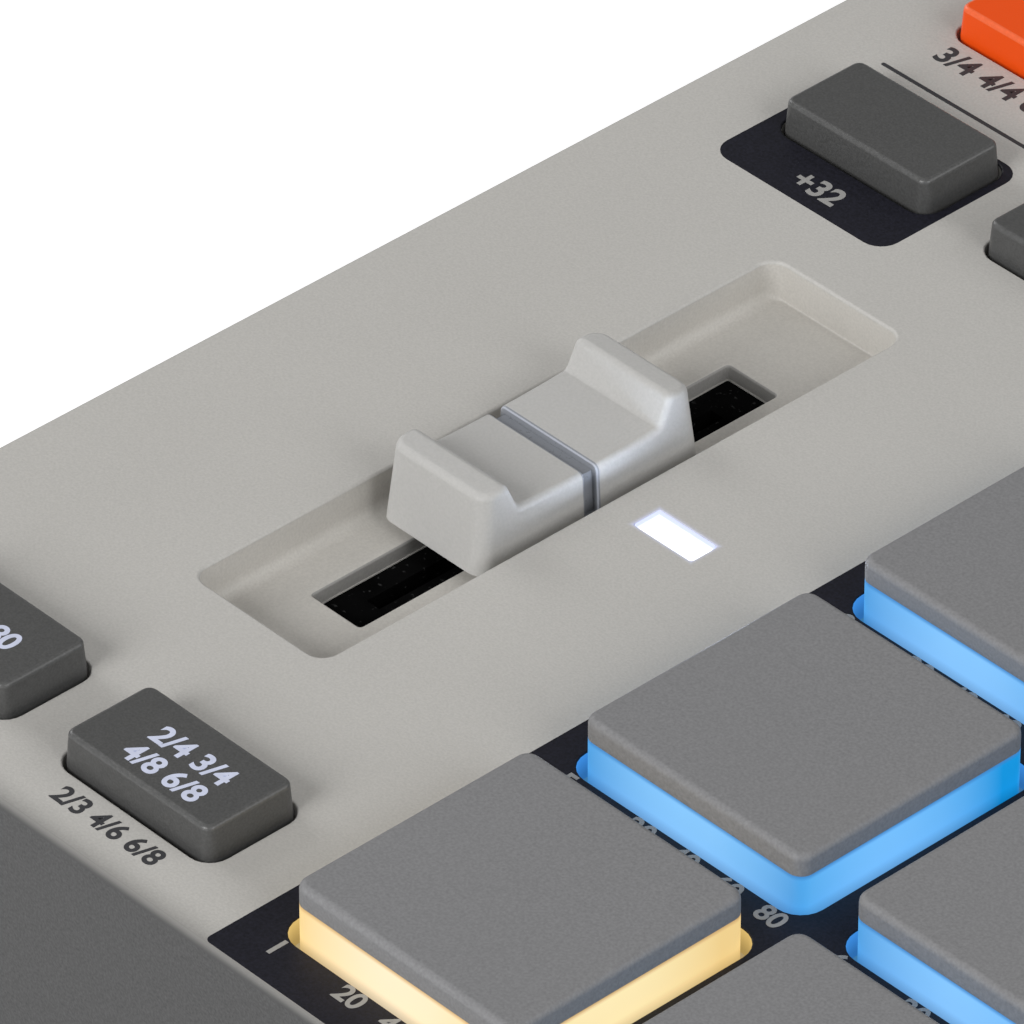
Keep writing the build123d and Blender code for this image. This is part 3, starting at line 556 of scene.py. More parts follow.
def plate(bm, centre, size, radius, z):
    """A flat face with rounded corners, facing up."""
    before = set(bm.faces)
    corners = bmesh.ops.create_grid(bm, x_segments=1, y_segments=1, size=0.5)["verts"]
    spread = Matrix.Diagonal((size[0], size[1], 1.0, 1.0))
    place = Matrix.Translation((centre[0], centre[1], z))
    bmesh.ops.transform(bm, matrix=place @ spread, verts=corners)
    bmesh.ops.bevel(
        bm, geom=corners, offset=radius, offset_type="OFFSET", affect="VERTICES",
        segments=ARC_STEPS, profile=0.5, material=-1,
    )
    return next(face for face in bm.faces if face not in before)


def disc(bm, centre, radius, z, segments=DISC_SIDES):
    """A flat round face, facing up."""
    before = set(bm.faces)
    place = Matrix.Translation((centre[0], centre[1], z))
    bmesh.ops.create_circle(bm, cap_ends=True, segments=segments, radius=radius, matrix=place)
    made = next(face for face in bm.faces if face not in before)
    if made.normal.z < 0:
        made.normal_flip()
    return made


print("a corner has", ARC_STEPS, "steps")

# %% [markdown]
# A plate becomes a moulding by insets. An inset moves the face in and up at once, so a list of small
# insets along a quarter circle is a rounded edge, and one with no way in is an upright wall. A bevel
# would need the right edges picked out each time, while a walk of insets says what the wall does from
# bottom to top.

# %% Walks of insets
ROUND_STEPS = 5
DIP, COVE, CROWN = (True, -1), (False, -1), (False, 1)


def walk(bm, face, steps, finish=0):
    """Inset a face by each step, given as how far in and how far up, and colour the walls."""
    for inward, rise in steps:
        walls = bmesh.ops.inset_individual(
            bm, faces=[face], thickness=inward, depth=rise, use_even_offset=True,
        )["faces"]
        for wall in walls:
            wall.material_index = finish


def quarter(radius, kind):
    """Steps round a quarter circle. A dip goes down from a flat, a cove down from a wall, a crown up."""
    flat_first, sign = kind
    turns = [math.pi / 2 * k / ROUND_STEPS for k in range(ROUND_STEPS + 1)]
    points = [(math.sin(t), 1 - math.cos(t)) for t in turns]
    if not flat_first:
        points = [(far, near) for near, far in points]
    return [
        (radius * (b[0] - a[0]), sign * radius * (b[1] - a[1]))
        for a, b in zip(points, points[1:])
    ]


print("a rounded edge has", ROUND_STEPS, "steps")

# %% [markdown]
# Flat areas with holes in them are filled last: every edge at one height that still lacks a face belongs
# to the outline or to a hole, and one fill spans them all. A finished bmesh becomes an object at the
# origin, with weighted normals for clean flats beside small radii, riding on the body that it moves with.

# %% Flats and finished pieces
SLACK = 0.001 * MM
SHARP_EDGE = math.radians(50)


def within(point, area):
    """Whether a point lies in an area given by its lowest and highest X and Y."""
    inside_x = area[0] - SLACK <= point.x <= area[1] + SLACK
    return inside_x and area[2] - SLACK <= point.y <= area[3] + SLACK


def open_edges(bm, z, inside=None):
    """Edges at one height that lack a face on one side, within an area if one is given."""
    single = [edge for edge in bm.edges if len(edge.link_faces) < 2]
    level = [edge for edge in single if all(abs(v.co.z - z) < SLACK for v in edge.verts)]
    return [edge for edge in level if inside is None or all(within(v.co, inside) for v in edge.verts)]


def fill(bm, edges, finish=0):
    """Span a flat area between its outer edge and its holes."""
    made = bmesh.ops.triangle_fill(bm, edges=edges, use_beauty=True, normal=(0, 0, 1))["geom"]
    for face in made:
        if isinstance(face, bmesh.types.BMFace):
            face.material_index = finish


def close(bm):
    """Cap every open loop with a face."""
    bmesh.ops.holes_fill(bm, edges=[e for e in bm.edges if e.is_boundary], sides=0)


def finished(name, bm, body, finishes, stands_for=()):
    """Make a piece of a bmesh: even normals, its finishes, its body and the nodes that it stands for."""
    bmesh.ops.recalc_face_normals(bm, faces=bm.faces)
    mesh = bpy.data.meshes.new(name)
    bm.to_mesh(mesh)
    bm.free()
    mesh.shade_smooth()
    mesh.set_sharp_from_angle(angle=SHARP_EDGE)
    for finish in finishes:
        mesh.materials.append(finish.material)
    made = added(name, mesh)
    even = made.modifiers.new("even normals", "WEIGHTED_NORMAL")
    even.keep_sharp = True
    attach(made, body)
    if stands_for:
        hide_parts(*stands_for)
    return made


print("edges stay sharp from", round(math.degrees(SHARP_EDGE)), "degrees")

# %% [markdown]
# The panel is one moulding with every opening in it. It could be cut with Boolean modifiers, but those
# leave hard edges, and the soft lips of the openings are what catches the light. So each opening is a
# plate that sinks by steps, the rim is a large plate that climbs, and the flats between them are filled
# level by level.

# %% Panel openings
PLAIN, NAVY, WARM_WALL, RIM, SLOT_WALL, BLUE_WALL, TUB = range(7)
PANEL_UNDER = PANEL_Z - 2.5 * MM
LIP, PAD_LIP, WINDOW_LIP = 0.2 * MM, 0.12 * MM, 0.1 * MM
PAD_HOLE, PAD_HOLE_R = (26.3 * MM, 26.3 * MM), 2.4 * MM
BUTTON_HOLE, BUTTON_HOLE_R = (18.3 * MM, 10.3 * MM), 2.0 * MM
WINDOW_PLAY, WINDOW_HOLE_R = 1.01, 0.32 * MM
SHAFT_HOLE_R, SHAFT_HOLE_ROUND = 3.8 * MM, 0.99
GRILLE_R, GRILLE_SLOT, GRILLE_PITCH, GRILLE_COUNT = 21.0 * MM, 2.0 * MM, 4.2 * MM, 9
GRILLE_ROUND = 0.98
WARM_PADS = ["pad_01"]

pads = [name for name in nodes if name.startswith("pad_") and name[4:].isdigit()]
buttons = [name for name in nodes if name.startswith("button_") and name != "button_switches"]
knobs = [name for name in nodes if name.startswith("knob_") and name[5:].isdigit()]

panel = bmesh.new()


def shell(centre, size, radius, z, *walks):
    """Walk a plate of the panel through lists of steps, each with its finish, and leave it open."""
    face = plate(panel, centre, size, radius, z)
    for steps, finish in walks:
        walk(panel, face, steps, finish)
    bmesh.ops.delete(panel, geom=[face], context="FACES_ONLY")


def pierce(centre, size, radius, lip=LIP, finish=PLAIN, wall_finish=PLAIN):
    """An opening right through the panel, with a soft lip."""
    wall = [(0.0, PANEL_UNDER - PANEL_Z + lip)]
    lip_and_wall = (quarter(lip, DIP), finish), (wall, wall_finish)
    shell(centre, grown(size, lip), radius + lip, PANEL_Z, *lip_and_wall)


for name in pads:
    gap_wall = WARM_WALL if name in WARM_PADS else BLUE_WALL
    pierce(middle(name), PAD_HOLE, PAD_HOLE_R, PAD_LIP, NAVY, gap_wall)
for name in buttons:
    lip_finish = NAVY if name == "button_middle_left" else PLAIN
    pierce(middle(name), BUTTON_HOLE, BUTTON_HOLE_R, finish=lip_finish)
pierce(window_mid, WINDOW_SIZE * WINDOW_PLAY, WINDOW_HOLE_R, WINDOW_LIP)
for name in knobs + ["dial"]:
    pierce(middle(name), (2 * SHAFT_HOLE_R, 2 * SHAFT_HOLE_R), SHAFT_HOLE_ROUND * SHAFT_HOLE_R)
speaker_mid = middle("speaker_driver")
for i in range(GRILLE_COUNT):
    row = (i - (GRILLE_COUNT - 1) / 2) * GRILLE_PITCH
    slot_size = (2 * math.sqrt(GRILLE_R**2 - row**2), GRILLE_SLOT)
    pierce((speaker_mid.x, speaker_mid.y + row), slot_size, GRILLE_ROUND * GRILLE_SLOT / 2)
print("openings:", len(pads) + len(buttons) + len(knobs) + 2 + GRILLE_COUNT)

# %% [markdown]
# The fader lies in a tub: drafted walls, a fillet round the floor, and a slot in the floor. The fillet is
# a wide cove under the left wall and almost nothing elsewhere, so it is made wide all round and then
# shrunk towards the foot of the other walls.

# %% Fader tub
RECESS, RECESS_R = (15.44 * MM, 64.1 * MM), 1.6 * MM
RECESS_MID = Vector((-61.73, -55.77)) * MM
RECESS_DEPTH, RECESS_DRAFT, RECESS_FILLET = 3.6 * MM, math.radians(5.0), 1.2 * MM
RECESS_LIP, FILLET_LEAST = 0.28 * MM, 0.12
RECESS_FLOOR = PANEL_Z - RECESS_DEPTH


def shrink_fillet():
    """Keep the full fillet along the left wall only."""
    core = Vector((RECESS[0] / 2 - RECESS_R, RECESS[1] / 2 - RECESS_R))
    for vert in panel.verts:
        away = vert.co.xy - RECESS_MID
        height = vert.co.z - RECESS_FLOOR
        inside = abs(away.x) < RECESS[0] / 2 and abs(away.y) < RECESS[1] / 2
        if inside and height < RECESS_FILLET + SLACK:
            past = Vector((max(abs(away.x) - core.x, 0.0), max(abs(away.y) - core.y, 0.0))).normalized()
            outward = Vector((math.copysign(past.x, away.x), math.copysign(past.y, away.y)))
            left = FILLET_LEAST + (1 - FILLET_LEAST) * max(-outward.x, 0.0) ** 2
            sine = 1 - min(max(height / RECESS_FILLET, 0.0), 1.0)
            inward = RECESS_FILLET * (1 - math.sqrt(1 - sine**2))
            vert.co.xy = vert.co.xy + outward * inward * (1 - left)
            vert.co.z = RECESS_FLOOR + height * left


drop = RECESS_DEPTH - RECESS_LIP - RECESS_FILLET
draft = [(drop * math.tan(RECESS_DRAFT), -drop)]
shell(
    RECESS_MID, grown(RECESS, RECESS_LIP), RECESS_R + RECESS_LIP, PANEL_Z,
    (quarter(RECESS_LIP, DIP), PLAIN), (draft + quarter(RECESS_FILLET, COVE), TUB),
)
shrink_fillet()
print("tub floor at", round(RECESS_FLOOR / MM, 2), "mm")

# %% [markdown]
# The slot goes down through the floor of the tub. The first steps of its lip keep the tub's lighter finish
# of painted light, and the rest has a darker grey of painted shade, so the finish changes part of the way
# round.
# A small ledge at the bottom meets the black sheet. The lens has a shallow pocket round its window, sunk in
# the same way.

# %% Slot and lens pocket
SLOT, SLOT_R = (5.8 * MM, 46.0 * MM), 0.3 * MM
SLOT_MID = Vector((-61.7, -56.45)) * MM
SLOT_LIP, SLOT_LEDGE, SLOT_LIT_STEPS = 0.28 * MM, 0.1 * MM, 2
TUB_WALL, TUB_UNDER = 2.0 * MM, 34.9 * MM
LENS_GAP, LENS_R = 0.2 * MM, 2.3 * MM
SCREEN_HOLE = (62.0 * MM, 36.0 * MM)

slot_lip = quarter(SLOT_LIP, DIP)
slot_wall = [(0.0, TUB_UNDER - RECESS_FLOOR + SLOT_LIP + SLOT_LEDGE)]
ledge = [(SLOT_LEDGE, 0.0), (0.0, -SLOT_LEDGE)]
shell(
    SLOT_MID, grown(SLOT, SLOT_LIP), SLOT_R + SLOT_LIP, RECESS_FLOOR,
    (slot_lip[:SLOT_LIT_STEPS], TUB), (slot_lip[SLOT_LIT_STEPS:] + slot_wall, SLOT_WALL), (ledge, PLAIN),
)
fill(panel, open_edges(panel, RECESS_FLOOR), TUB)

pocket_size, pocket_wall = grown(lens_high - lens_low, LENS_GAP), [(0.0, lens_low.z - PANEL_Z)]
shell(lens_mid, pocket_size, LENS_R + LENS_GAP, PANEL_Z, (pocket_wall, PLAIN))
shell(lens_mid, SCREEN_HOLE, LENS_R, lens_low.z, ([(0.0, PANEL_UNDER - lens_low.z)], PLAIN))
fill(panel, open_edges(panel, lens_low.z))
print("slot", [round(c / MM, 1) for c in SLOT], "mm")

# %% [markdown]
# The outer rim starts at its lower edge, climbs the side and turns over a small radius on to the top. The
# navy print round the pads, and the one round a button, are areas of the top itself, so their edges stay
# crisp however close the camera comes: each gets an outline of its own and is filled before the plain
# panel is.

# %% Rim, prints and flats
RIM_Z = PANEL_Z - 0.7 * MM
RIM_ROUND, RIM_SHADE, RIM_GRAIN = 0.42 * MM, 1.2, 0.3 * MM
CORNER_R, CASE_WALL = 8.0 * MM, 2.5 * MM
WELD = 0.0005 * MM
PAD_PRINT, PAD_PRINT_R = [v * MM for v in (-34.43, 87.4, -117.34, 4.6)], 0.6 * MM
BOX_PRINT, BOX_PRINT_R = [v * MM for v in (-84.34, -63.92, -16.72, 0.0)], 2.0 * MM
outer_size = cad_box[1] - cad_box[0]


def rim_fade():
    """The panel's colour at the top of the rim turning into the case's below, with painted shade on the
    front.
    """
    finish = Finish("rim_fade")
    share = clamped((finish.axis("Z") - RIM_Z) / (PANEL_Z - RIM_Z))
    # painted shade: the top of the rim is darker towards the front edge
    rim_top = finish.tone(PANEL_COLOUR, 1.0 - RIM_SHADE * (1.0 - by_the_edge(finish)))
    return finish.shade({
        "Base Color": finish.mix(share * share, CASE_COLOUR, rim_top),
        "Roughness": 0.6 + 0.1 * finish.noise(RIM_GRAIN),
    })


outside = [(0.0, PANEL_Z - RIM_Z - RIM_ROUND)] + quarter(RIM_ROUND, CROWN)
inside = [(CASE_WALL, 0.0), (0.0, PANEL_UNDER - RIM_Z)]
for wall in ((outside, RIM), (inside, PLAIN)):
    shell((0.0, 0.0), outer_size, CORNER_R, RIM_Z, wall)
bmesh.ops.remove_doubles(panel, verts=panel.verts, dist=WELD)

for area, radius in ((PAD_PRINT, PAD_PRINT_R), (BOX_PRINT, BOX_PRINT_R)):
    spot = ((area[0] + area[1]) / 2, (area[2] + area[3]) / 2)
    shell(spot, (area[1] - area[0], area[3] - area[2]), radius, PANEL_Z)
    fill(panel, open_edges(panel, PANEL_Z, inside=area), NAVY)
fill(panel, open_edges(panel, PANEL_Z))
print("faces on the top so far:", len(panel.faces))

# %% [markdown]
# Below, the tub's outside hangs from the plate and bosses for the case screws stand under it. With the
# underside filled too, the panel is one closed shell.

# %% Underside
BOSS_R, BOSS_BORE, BOSS_LOW, BORE_TOP = 3.2 * MM, 1.5 * MM, 25.2 * MM, 35.0 * MM
SCREW_AT_MM = [(-82.0, -92.0), (56.4, -84.67), (-84.0, 104.0), (84.0, 104.0)]

tub_side = [(0.0, TUB_UNDER - PANEL_UNDER)]
shell(RECESS_MID, grown(RECESS, TUB_WALL), RECESS_R + TUB_WALL, PANEL_UNDER, (tub_side, PLAIN))
fill(panel, open_edges(panel, TUB_UNDER))
boss_steps = [(0.0, BOSS_LOW - PANEL_UNDER), (BOSS_R - BOSS_BORE, 0.0), (0.0, BORE_TOP - BOSS_LOW)]
for x, y in SCREW_AT_MM:
    walk(panel, disc(panel, (x * MM, y * MM), BOSS_R, PANEL_UNDER), boss_steps)
fill(panel, open_edges(panel, PANEL_UNDER))
open_count = sum(1 for edge in panel.edges if len(edge.link_faces) != 2)
panel_finishes = [panel_grey, navy_print, warm_gap, rim_fade(), slot_painted_shade, blue_gap, tub_painted_light]
panel_piece = finished("panel_shell", panel, "case", panel_finishes, ["top_panel"])
print("panel faces:", len(panel_piece.data.polygons), "open edges:", open_count)

# %% [markdown]
# The window is the end of a light pipe: a block that fills its opening, flush with the panel, on a wider
# foot that is glued under it. Only its face shows, with a soft edge that takes the hardness off the lit
# outline.

# %% Light pipe
PIPE_R, PIPE_LIP, PIPE_LIP_T, PIPE_EDGE = 0.3 * MM, 1.0 * MM, 0.8 * MM, 0.08 * MM
pipe_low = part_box("fader_light")[0].z
foot_low = PANEL_UNDER - PIPE_LIP_T

bm = bmesh.new()
foot = plate(bm, window_mid, WINDOW_SIZE, PIPE_R, pipe_low)
walk(bm, foot, [(0.0, foot_low - pipe_low)])
face = plate(bm, window_mid, grown(WINDOW_SIZE, PIPE_LIP), PIPE_R + PIPE_LIP, foot_low)
walk(bm, face, [(0.0, PIPE_LIP_T), (PIPE_LIP, 0.0), (0.0, PANEL_Z - PANEL_UNDER - PIPE_EDGE)])
walk(bm, face, quarter(PIPE_EDGE, CROWN))
close(bm)
pipe = finished("light_pipe", bm, "case", [lit_white], ["fader_light"])
print("window faces:", len(pipe.data.polygons))

# %% [markdown]
# A pad is a hat: a flange that stays under the panel, a straight skirt that glows, and an opaque grey top
# with a generous round edge. The finish changes at the height where the coat of paint ends.

# %% Pads
FLANGE_GAP = 0.3 * MM
PAD_SIZE, PAD_R, PAD_EDGE = (24.35 * MM, 24.35 * MM), 1.25 * MM, 0.65 * MM
PAD_FLANGE, PAD_FLANGE_R, PAD_FLANGE_T = (27.7 * MM, 27.7 * MM), 5.0 * MM, 1.4 * MM
PAD_LOW = PANEL_UNDER - FLANGE_GAP - PAD_FLANGE_T
COAT, SKIRT = 0, 1


def pad_hat(name):
    """One pad with its glowing skirt."""
    bm = bmesh.new()
    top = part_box(name)[1].z
    flange = plate(bm, middle(name), PAD_FLANGE, PAD_FLANGE_R, PAD_LOW)
    flange.material_index = SKIRT
    walk(bm, flange, [(0.0, PAD_FLANGE_T)], SKIRT)
    face = plate(bm, middle(name), PAD_SIZE, PAD_R, PAD_LOW)
    walk(bm, face, [(0.0, SKIRT_TOP - PAD_LOW)], SKIRT)
    walk(bm, face, [(0.0, top - PAD_EDGE - SKIRT_TOP)] + quarter(PAD_EDGE, CROWN), COAT)
    close(bm)
    glow = warm_glow if name in WARM_PADS else blue_glow
    return finished(f"lit_{name}", bm, name, [pad_grey, glow], [name])


for name in pads:
    pad_hat(name)
print("pads:", len(pads))

# %% [markdown]
# The push buttons are smaller hats with a little draft on their sides. Their corners are polished by
# fingers, so the rounded edge has its own finish, smoother than the flat top and a little lighter, a painted
# highlight.

# %% Push buttons
BUTTON, BUTTON_R, BUTTON_EDGE = (17.3 * MM, 9.3 * MM), 1.05 * MM, 0.4 * MM
BUTTON_DRAFT = math.radians(4.5)
BUTTON_FLANGE, BUTTON_FLANGE_T = 1.3 * MM, 1.2 * MM
BUTTON_LOW = PANEL_UNDER - FLANGE_GAP - BUTTON_FLANGE_T
WORN_AND_HIGHLIT = 1


def push_button(name):
    """One button: flange, sides, worn edge with a painted highlight, and top."""
    bm = bmesh.new()
    face = plate(bm, middle(name), grown(BUTTON, BUTTON_FLANGE), BUTTON_R + BUTTON_FLANGE, BUTTON_LOW)
    walk(bm, face, [(0.0, BUTTON_FLANGE_T), (BUTTON_FLANGE, 0.0)])
    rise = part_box(name)[1].z - BUTTON_EDGE - PANEL_Z
    walk(bm, face, [(0.0, PANEL_Z - BUTTON_LOW - BUTTON_FLANGE_T), (rise * math.tan(BUTTON_DRAFT), rise)])
    walk(bm, face, quarter(BUTTON_EDGE, CROWN), WORN_AND_HIGHLIT)
    close(bm)
    bright = name == "button_record"
    colours = [orange, orange_wear_and_highlight] if bright else [button_grey, button_wear_and_highlight]
    return finished(name.replace("button_", "key_"), bm, name, colours, [name])


for name in buttons:
    push_button(name)
print("buttons:", len(buttons))

# %% [markdown]
# The fader cap takes the most care. Its long section is drawn with eight points: raised lips at both ends
# and a dish between them for the finger. The section is pulled across, drawn in towards the top, and cut
# where the groove and the sag of the dish need points.

# %% Fader cap section
cap_low, cap_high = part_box("fader_cap")
cap_mid = middle("fader_cap")
CAP_BASE_HALF, CAP_TOP_HALF, CAP_LIP_IN, CAP_DISH_HALF = 12.3 * MM, 11.45 * MM, 8.85 * MM, 7.75 * MM
CAP_OUTER_Z, CAP_LIP_Z, CAP_DISH_Z = PANEL_Z + 4.75 * MM, PANEL_Z + 5.0 * MM, PANEL_Z + 2.4 * MM
CAP_SAG, CAP_DRAFT = 0.2 * MM, math.radians(3.0)
GROOVE_HALF = 0.92 * MM
DISH_CUTS = [v * MM for v in (-5.2, -2.8, 2.8, 5.2)]


def cap_block():
    """The cap with lips and dish, before its edges are rounded."""
    bm = bmesh.new()
    half = [
        (CAP_BASE_HALF, cap_low.z), (CAP_TOP_HALF, CAP_OUTER_Z),
        (CAP_LIP_IN, CAP_LIP_Z), (CAP_DISH_HALF, CAP_DISH_Z),
    ]
    section = half + [(-y, z) for y, z in reversed(half)]
    side = bm.faces.new([bm.verts.new((cap_low.x, cap_mid.y + y, z)) for y, z in section])
    far = bmesh.ops.extrude_face_region(bm, geom=[side])["geom"]
    far_verts = [item for item in far if isinstance(item, bmesh.types.BMVert)]
    bmesh.ops.translate(bm, vec=(cap_high.x - cap_low.x, 0.0, 0.0), verts=far_verts)
    bmesh.ops.recalc_face_normals(bm, faces=bm.faces)
    for vert in bm.verts:
        vert.co.x -= math.copysign((vert.co.z - cap_low.z) * math.tan(CAP_DRAFT), vert.co.x - cap_mid.x)
    for cut in DISH_CUTS + [-GROOVE_HALF, GROOVE_HALF]:
        everything = bm.verts[:] + bm.edges[:] + bm.faces[:]
        at = (0.0, cap_mid.y + cut, 0.0)
        bmesh.ops.bisect_plane(bm, geom=everything, plane_co=at, plane_no=(0.0, 1.0, 0.0))
    for vert in bm.verts:
        along = (vert.co.y - cap_mid.y) / CAP_DISH_HALF
        if abs(along) < 1 and vert.co.z > CAP_DISH_Z - CAP_SAG:
            vert.co.z -= CAP_SAG * (1 - along**2)
    return bm


cap = cap_block()
print("cap points:", len(cap.verts))

# %% [markdown]
# Then its edges are rounded, the upright corners most, and last the strip between the two middle cuts is
# pushed in by rings to make the groove over the top and down the sides. On the far side the second ring is
# the pale line, a painted highlight.

# %% Fader cap edges and groove
CAP_CORNER, CAP_INNER, CAP_ROUND = 1.4 * MM, 0.35 * MM, 1.0 * MM
UPRIGHT_LEAST, CORNER_TURN, EDGE_TURN = 5.0 * MM, math.radians(60), math.radians(25)
BASE_RIM = cap_low.z + 0.1 * MM
GROOVE_STEPS = [(0.14 * MM, 0.05 * MM), (0.1 * MM, 0.11 * MM), (0.02 * MM, 0.49 * MM)]
GROOVE, HIGHLIGHT_LINE = 1, 2


def soften(bm, edges, radius):
    """Round edges to a radius."""
    bmesh.ops.bevel(
        bm, geom=edges, offset=radius, offset_type="OFFSET", affect="EDGES",
        segments=ROUND_STEPS, profile=0.5, material=-1, clamp_overlap=True,
    )


def round_cap(bm):
    """Round the upright corners, then the foot of the lips, then all other edges above the base."""
    tall = [e for e in bm.edges if abs(e.verts[0].co.z - e.verts[1].co.z) > UPRIGHT_LEAST]
    soften(bm, [e for e in tall if e.calc_face_angle() > CORNER_TURN], CAP_CORNER)
    inner = [e for e in bm.edges if e.is_manifold and e.calc_face_angle_signed() < -EDGE_TURN]
    soften(bm, inner, CAP_INNER)
    turning = [e for e in bm.edges if e.is_manifold and e.calc_face_angle() > EDGE_TURN]
    soften(bm, [e for e in turning if max(v.co.z for v in e.verts) > BASE_RIM], CAP_ROUND)


def groove_cap(bm):
    """Sink the strip across the middle and colour its rings."""
    strip = [f for f in bm.faces if abs(f.calc_center_median().y - cap_mid.y) < GROOVE_HALF]
    strip = [f for f in strip if f.calc_center_median().z > BASE_RIM]
    rings = [
        bmesh.ops.inset_region(bm, faces=strip, thickness=way, depth=-sink, use_even_offset=True)["faces"]
        for way, sink in GROOVE_STEPS
    ]
    for face in strip + rings[0] + rings[1] + rings[2]:
        face.material_index = GROOVE
    # painted highlight: the second ring on the far side
    for face in rings[1]:
        if face.calc_center_median().y > cap_mid.y:
            face.material_index = HIGHLIGHT_LINE


round_cap(cap)
groove_cap(cap)
cap_finishes = [fader_milky, fader_groove, groove_painted_highlight]
cap_piece = finished("fader_cap_form", cap, "fader", cap_finishes, ["fader_cap"])
print("cap faces:", len(cap_piece.data.polygons))

# %% [markdown]
# Knobs and the dial are turned shapes with flutes for grip. A disc with many sides is walked up into a
# cone, every fourth side is pushed in to make a flute, and the top edge is rounded. A white line on top
# shows where a knob points, and the dial has a shallow dish for a fingertip.

# %% Knobs and dial
SIDES_PER_FLUTE = 4
FLUTE_DEPTH, FLUTE_EDGE = 0.55 * MM, 0.12 * MM
KNOB_BASE_R, KNOB_TOP_R, KNOB_FLUTES, KNOB_EDGE = 7.0 * MM, 6.8 * MM, 12, 0.8 * MM
DIAL_BASE_R, DIAL_TOP_R, DIAL_FLUTES, DIAL_EDGE = 16.0 * MM, 15.7 * MM, 20, 1.2 * MM
DIAL_DISH_MM = [(1.4, 0.0), (0.9, -0.8), (2.5, -0.12), (3.5, -0.06)]
POINTER, POINTER_R, POINTER_END = (1.1 * MM, 4.6 * MM), 0.4 * MM, 5.8 * MM
POINTER_PROUD, POINTER_SUNK = 0.04 * MM, 0.3 * MM
INLAY = 1


def fluted(bm, node, base_radius, top_radius, flutes, edge):
    """A tapered grip with flutes and a rounded top edge; gives its middle, its top and the face there."""
    mid = middle(node)
    low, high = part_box(node)
    top = high.z - POINTER_PROUD
    face = disc(bm, mid, base_radius, low.z, SIDES_PER_FLUTE * flutes)
    walk(bm, face, [(base_radius - top_radius, top - low.z - edge)])
    sides = sorted(
        (f for f in bm.faces if f is not face),
        key=lambda f: math.atan2(f.calc_center_median().y - mid.y, f.calc_center_median().x - mid.x),
    )
    bmesh.ops.inset_individual(
        bm, faces=sides[::SIDES_PER_FLUTE], thickness=FLUTE_EDGE, depth=-FLUTE_DEPTH, use_even_offset=True,
    )
    walk(bm, face, quarter(edge, CROWN))
    close(bm)
    return mid, top, face


for name in knobs:
    bm = bmesh.new()
    mid, top, face = fluted(bm, name, KNOB_BASE_R, KNOB_TOP_R, KNOB_FLUTES, KNOB_EDGE)
    line_at = (mid.x, mid.y + POINTER_END - POINTER[1] / 2)
    line = plate(bm, line_at, POINTER, POINTER_R, top - POINTER_SUNK)
    line.material_index = INLAY
    walk(bm, line, [(0.0, POINTER_SUNK + POINTER_PROUD)], INLAY)
    close(bm)
    finished(f"grip_{name}", bm, name, [knob_black, white_inlay], [name])

bm = bmesh.new()
mid, top, face = fluted(bm, "dial", DIAL_BASE_R, DIAL_TOP_R, DIAL_FLUTES, DIAL_EDGE)
walk(bm, face, [(inward * MM, rise * MM) for inward, rise in DIAL_DISH_MM])
finished("grip_dial", bm, "dial", [knob_black], ["dial"])
print("knobs:", len(knobs), "and one dial")

# %% [markdown]
# Printed marks are thin raised ink: a line behind the buttons, a plain number and a scale in front of
# each pad, and plain fractions by the buttons. They start as text, become a mesh and are then put in
# place, a hair above the surface. Text is made large and shrunk, so that its outline is filled alike at
# every height.

# %% Ink
INK, CAP_SHARE, BOLD = 0.02 * MM, 0.70, 0.035


def written(bm, text, at, tall, z, align="CENTER"):
    """Add text as flat ink on its base line: made one metre tall, then shrunk to its height."""
    curve = bpy.data.curves.new("mark", "FONT")
    curve.body = text
    curve.size = 1.0 / CAP_SHARE
    curve.align_x = align
    curve.offset = BOLD
    curve.extrude = INK / 2 / tall
    carrier = bpy.data.objects.new("mark", curve)
    mesh = bpy.data.meshes.new_from_object(carrier)
    before = set(bm.verts)
    bm.from_mesh(mesh)
    fresh = [v for v in bm.verts if v not in before]
    place = Matrix.Translation((at[0], at[1], z + INK / 2)) @ Matrix.Scale(tall, 4)
    bmesh.ops.transform(bm, matrix=place, verts=fresh)
    bpy.data.objects.remove(carrier)
    bpy.data.curves.remove(curve)
    bpy.data.meshes.remove(mesh)


def mark_rows(bm, node, rows, z):
    """Write rows of text: each has its place from the middle of a node and its height, in millimetres."""
    mid = middle(node)
    for text, (x, y), tall in rows:
        written(bm, text, (mid.x + x * MM, mid.y + y * MM), tall * MM, z)


print("ink stands", INK / MM, "mm proud")

# %% [markdown]
# The marks of the panel are two pieces, pale ink on the navy print and dark ink on the grey. Those on the
# two front buttons are lit from inside and go down with the buttons, so they ride on the buttons' own
# bodies.

# %% Printed marks
NUMBER_TALL, SCALE_TALL = 1.9 * MM, 1.85 * MM
NUMBER_SHIFT, SCALE_SHIFT = Vector((-11.6, -15.2)) * MM, Vector((12.45, -15.1)) * MM
LINE_FROM, LINE_TO, LINE_Y = -83.7 * MM, -38.0 * MM, 2.88 * MM
LINE_THICK, LINE_R = 0.4 * MM, 0.15 * MM
PALE_ROWS = [("+32", (0.0, -9.6), 2.3)]
DARK_ROWS = {
    "button_front_right": [("2/3 4/6 6/8", (0.0, -8.2), 1.9)],
    "button_record": [("3/4 4/4 6/8", (-0.4, -8.6), 2.3)],
}
DARK_ROWS.update({f"button_upper_{i}": [(str(i), (0.0, -8.6), 2.3)] for i in range(2, 7)})
LIT_ROWS = {
    "button_front_right": [("2/4 3/4", (0.8, -0.2), 2.1), ("4/8 6/8", (0.8, -3.2), 2.1)],
    "button_front_left": [("20 - 80", (0.8, -1.2), 2.1)],
}

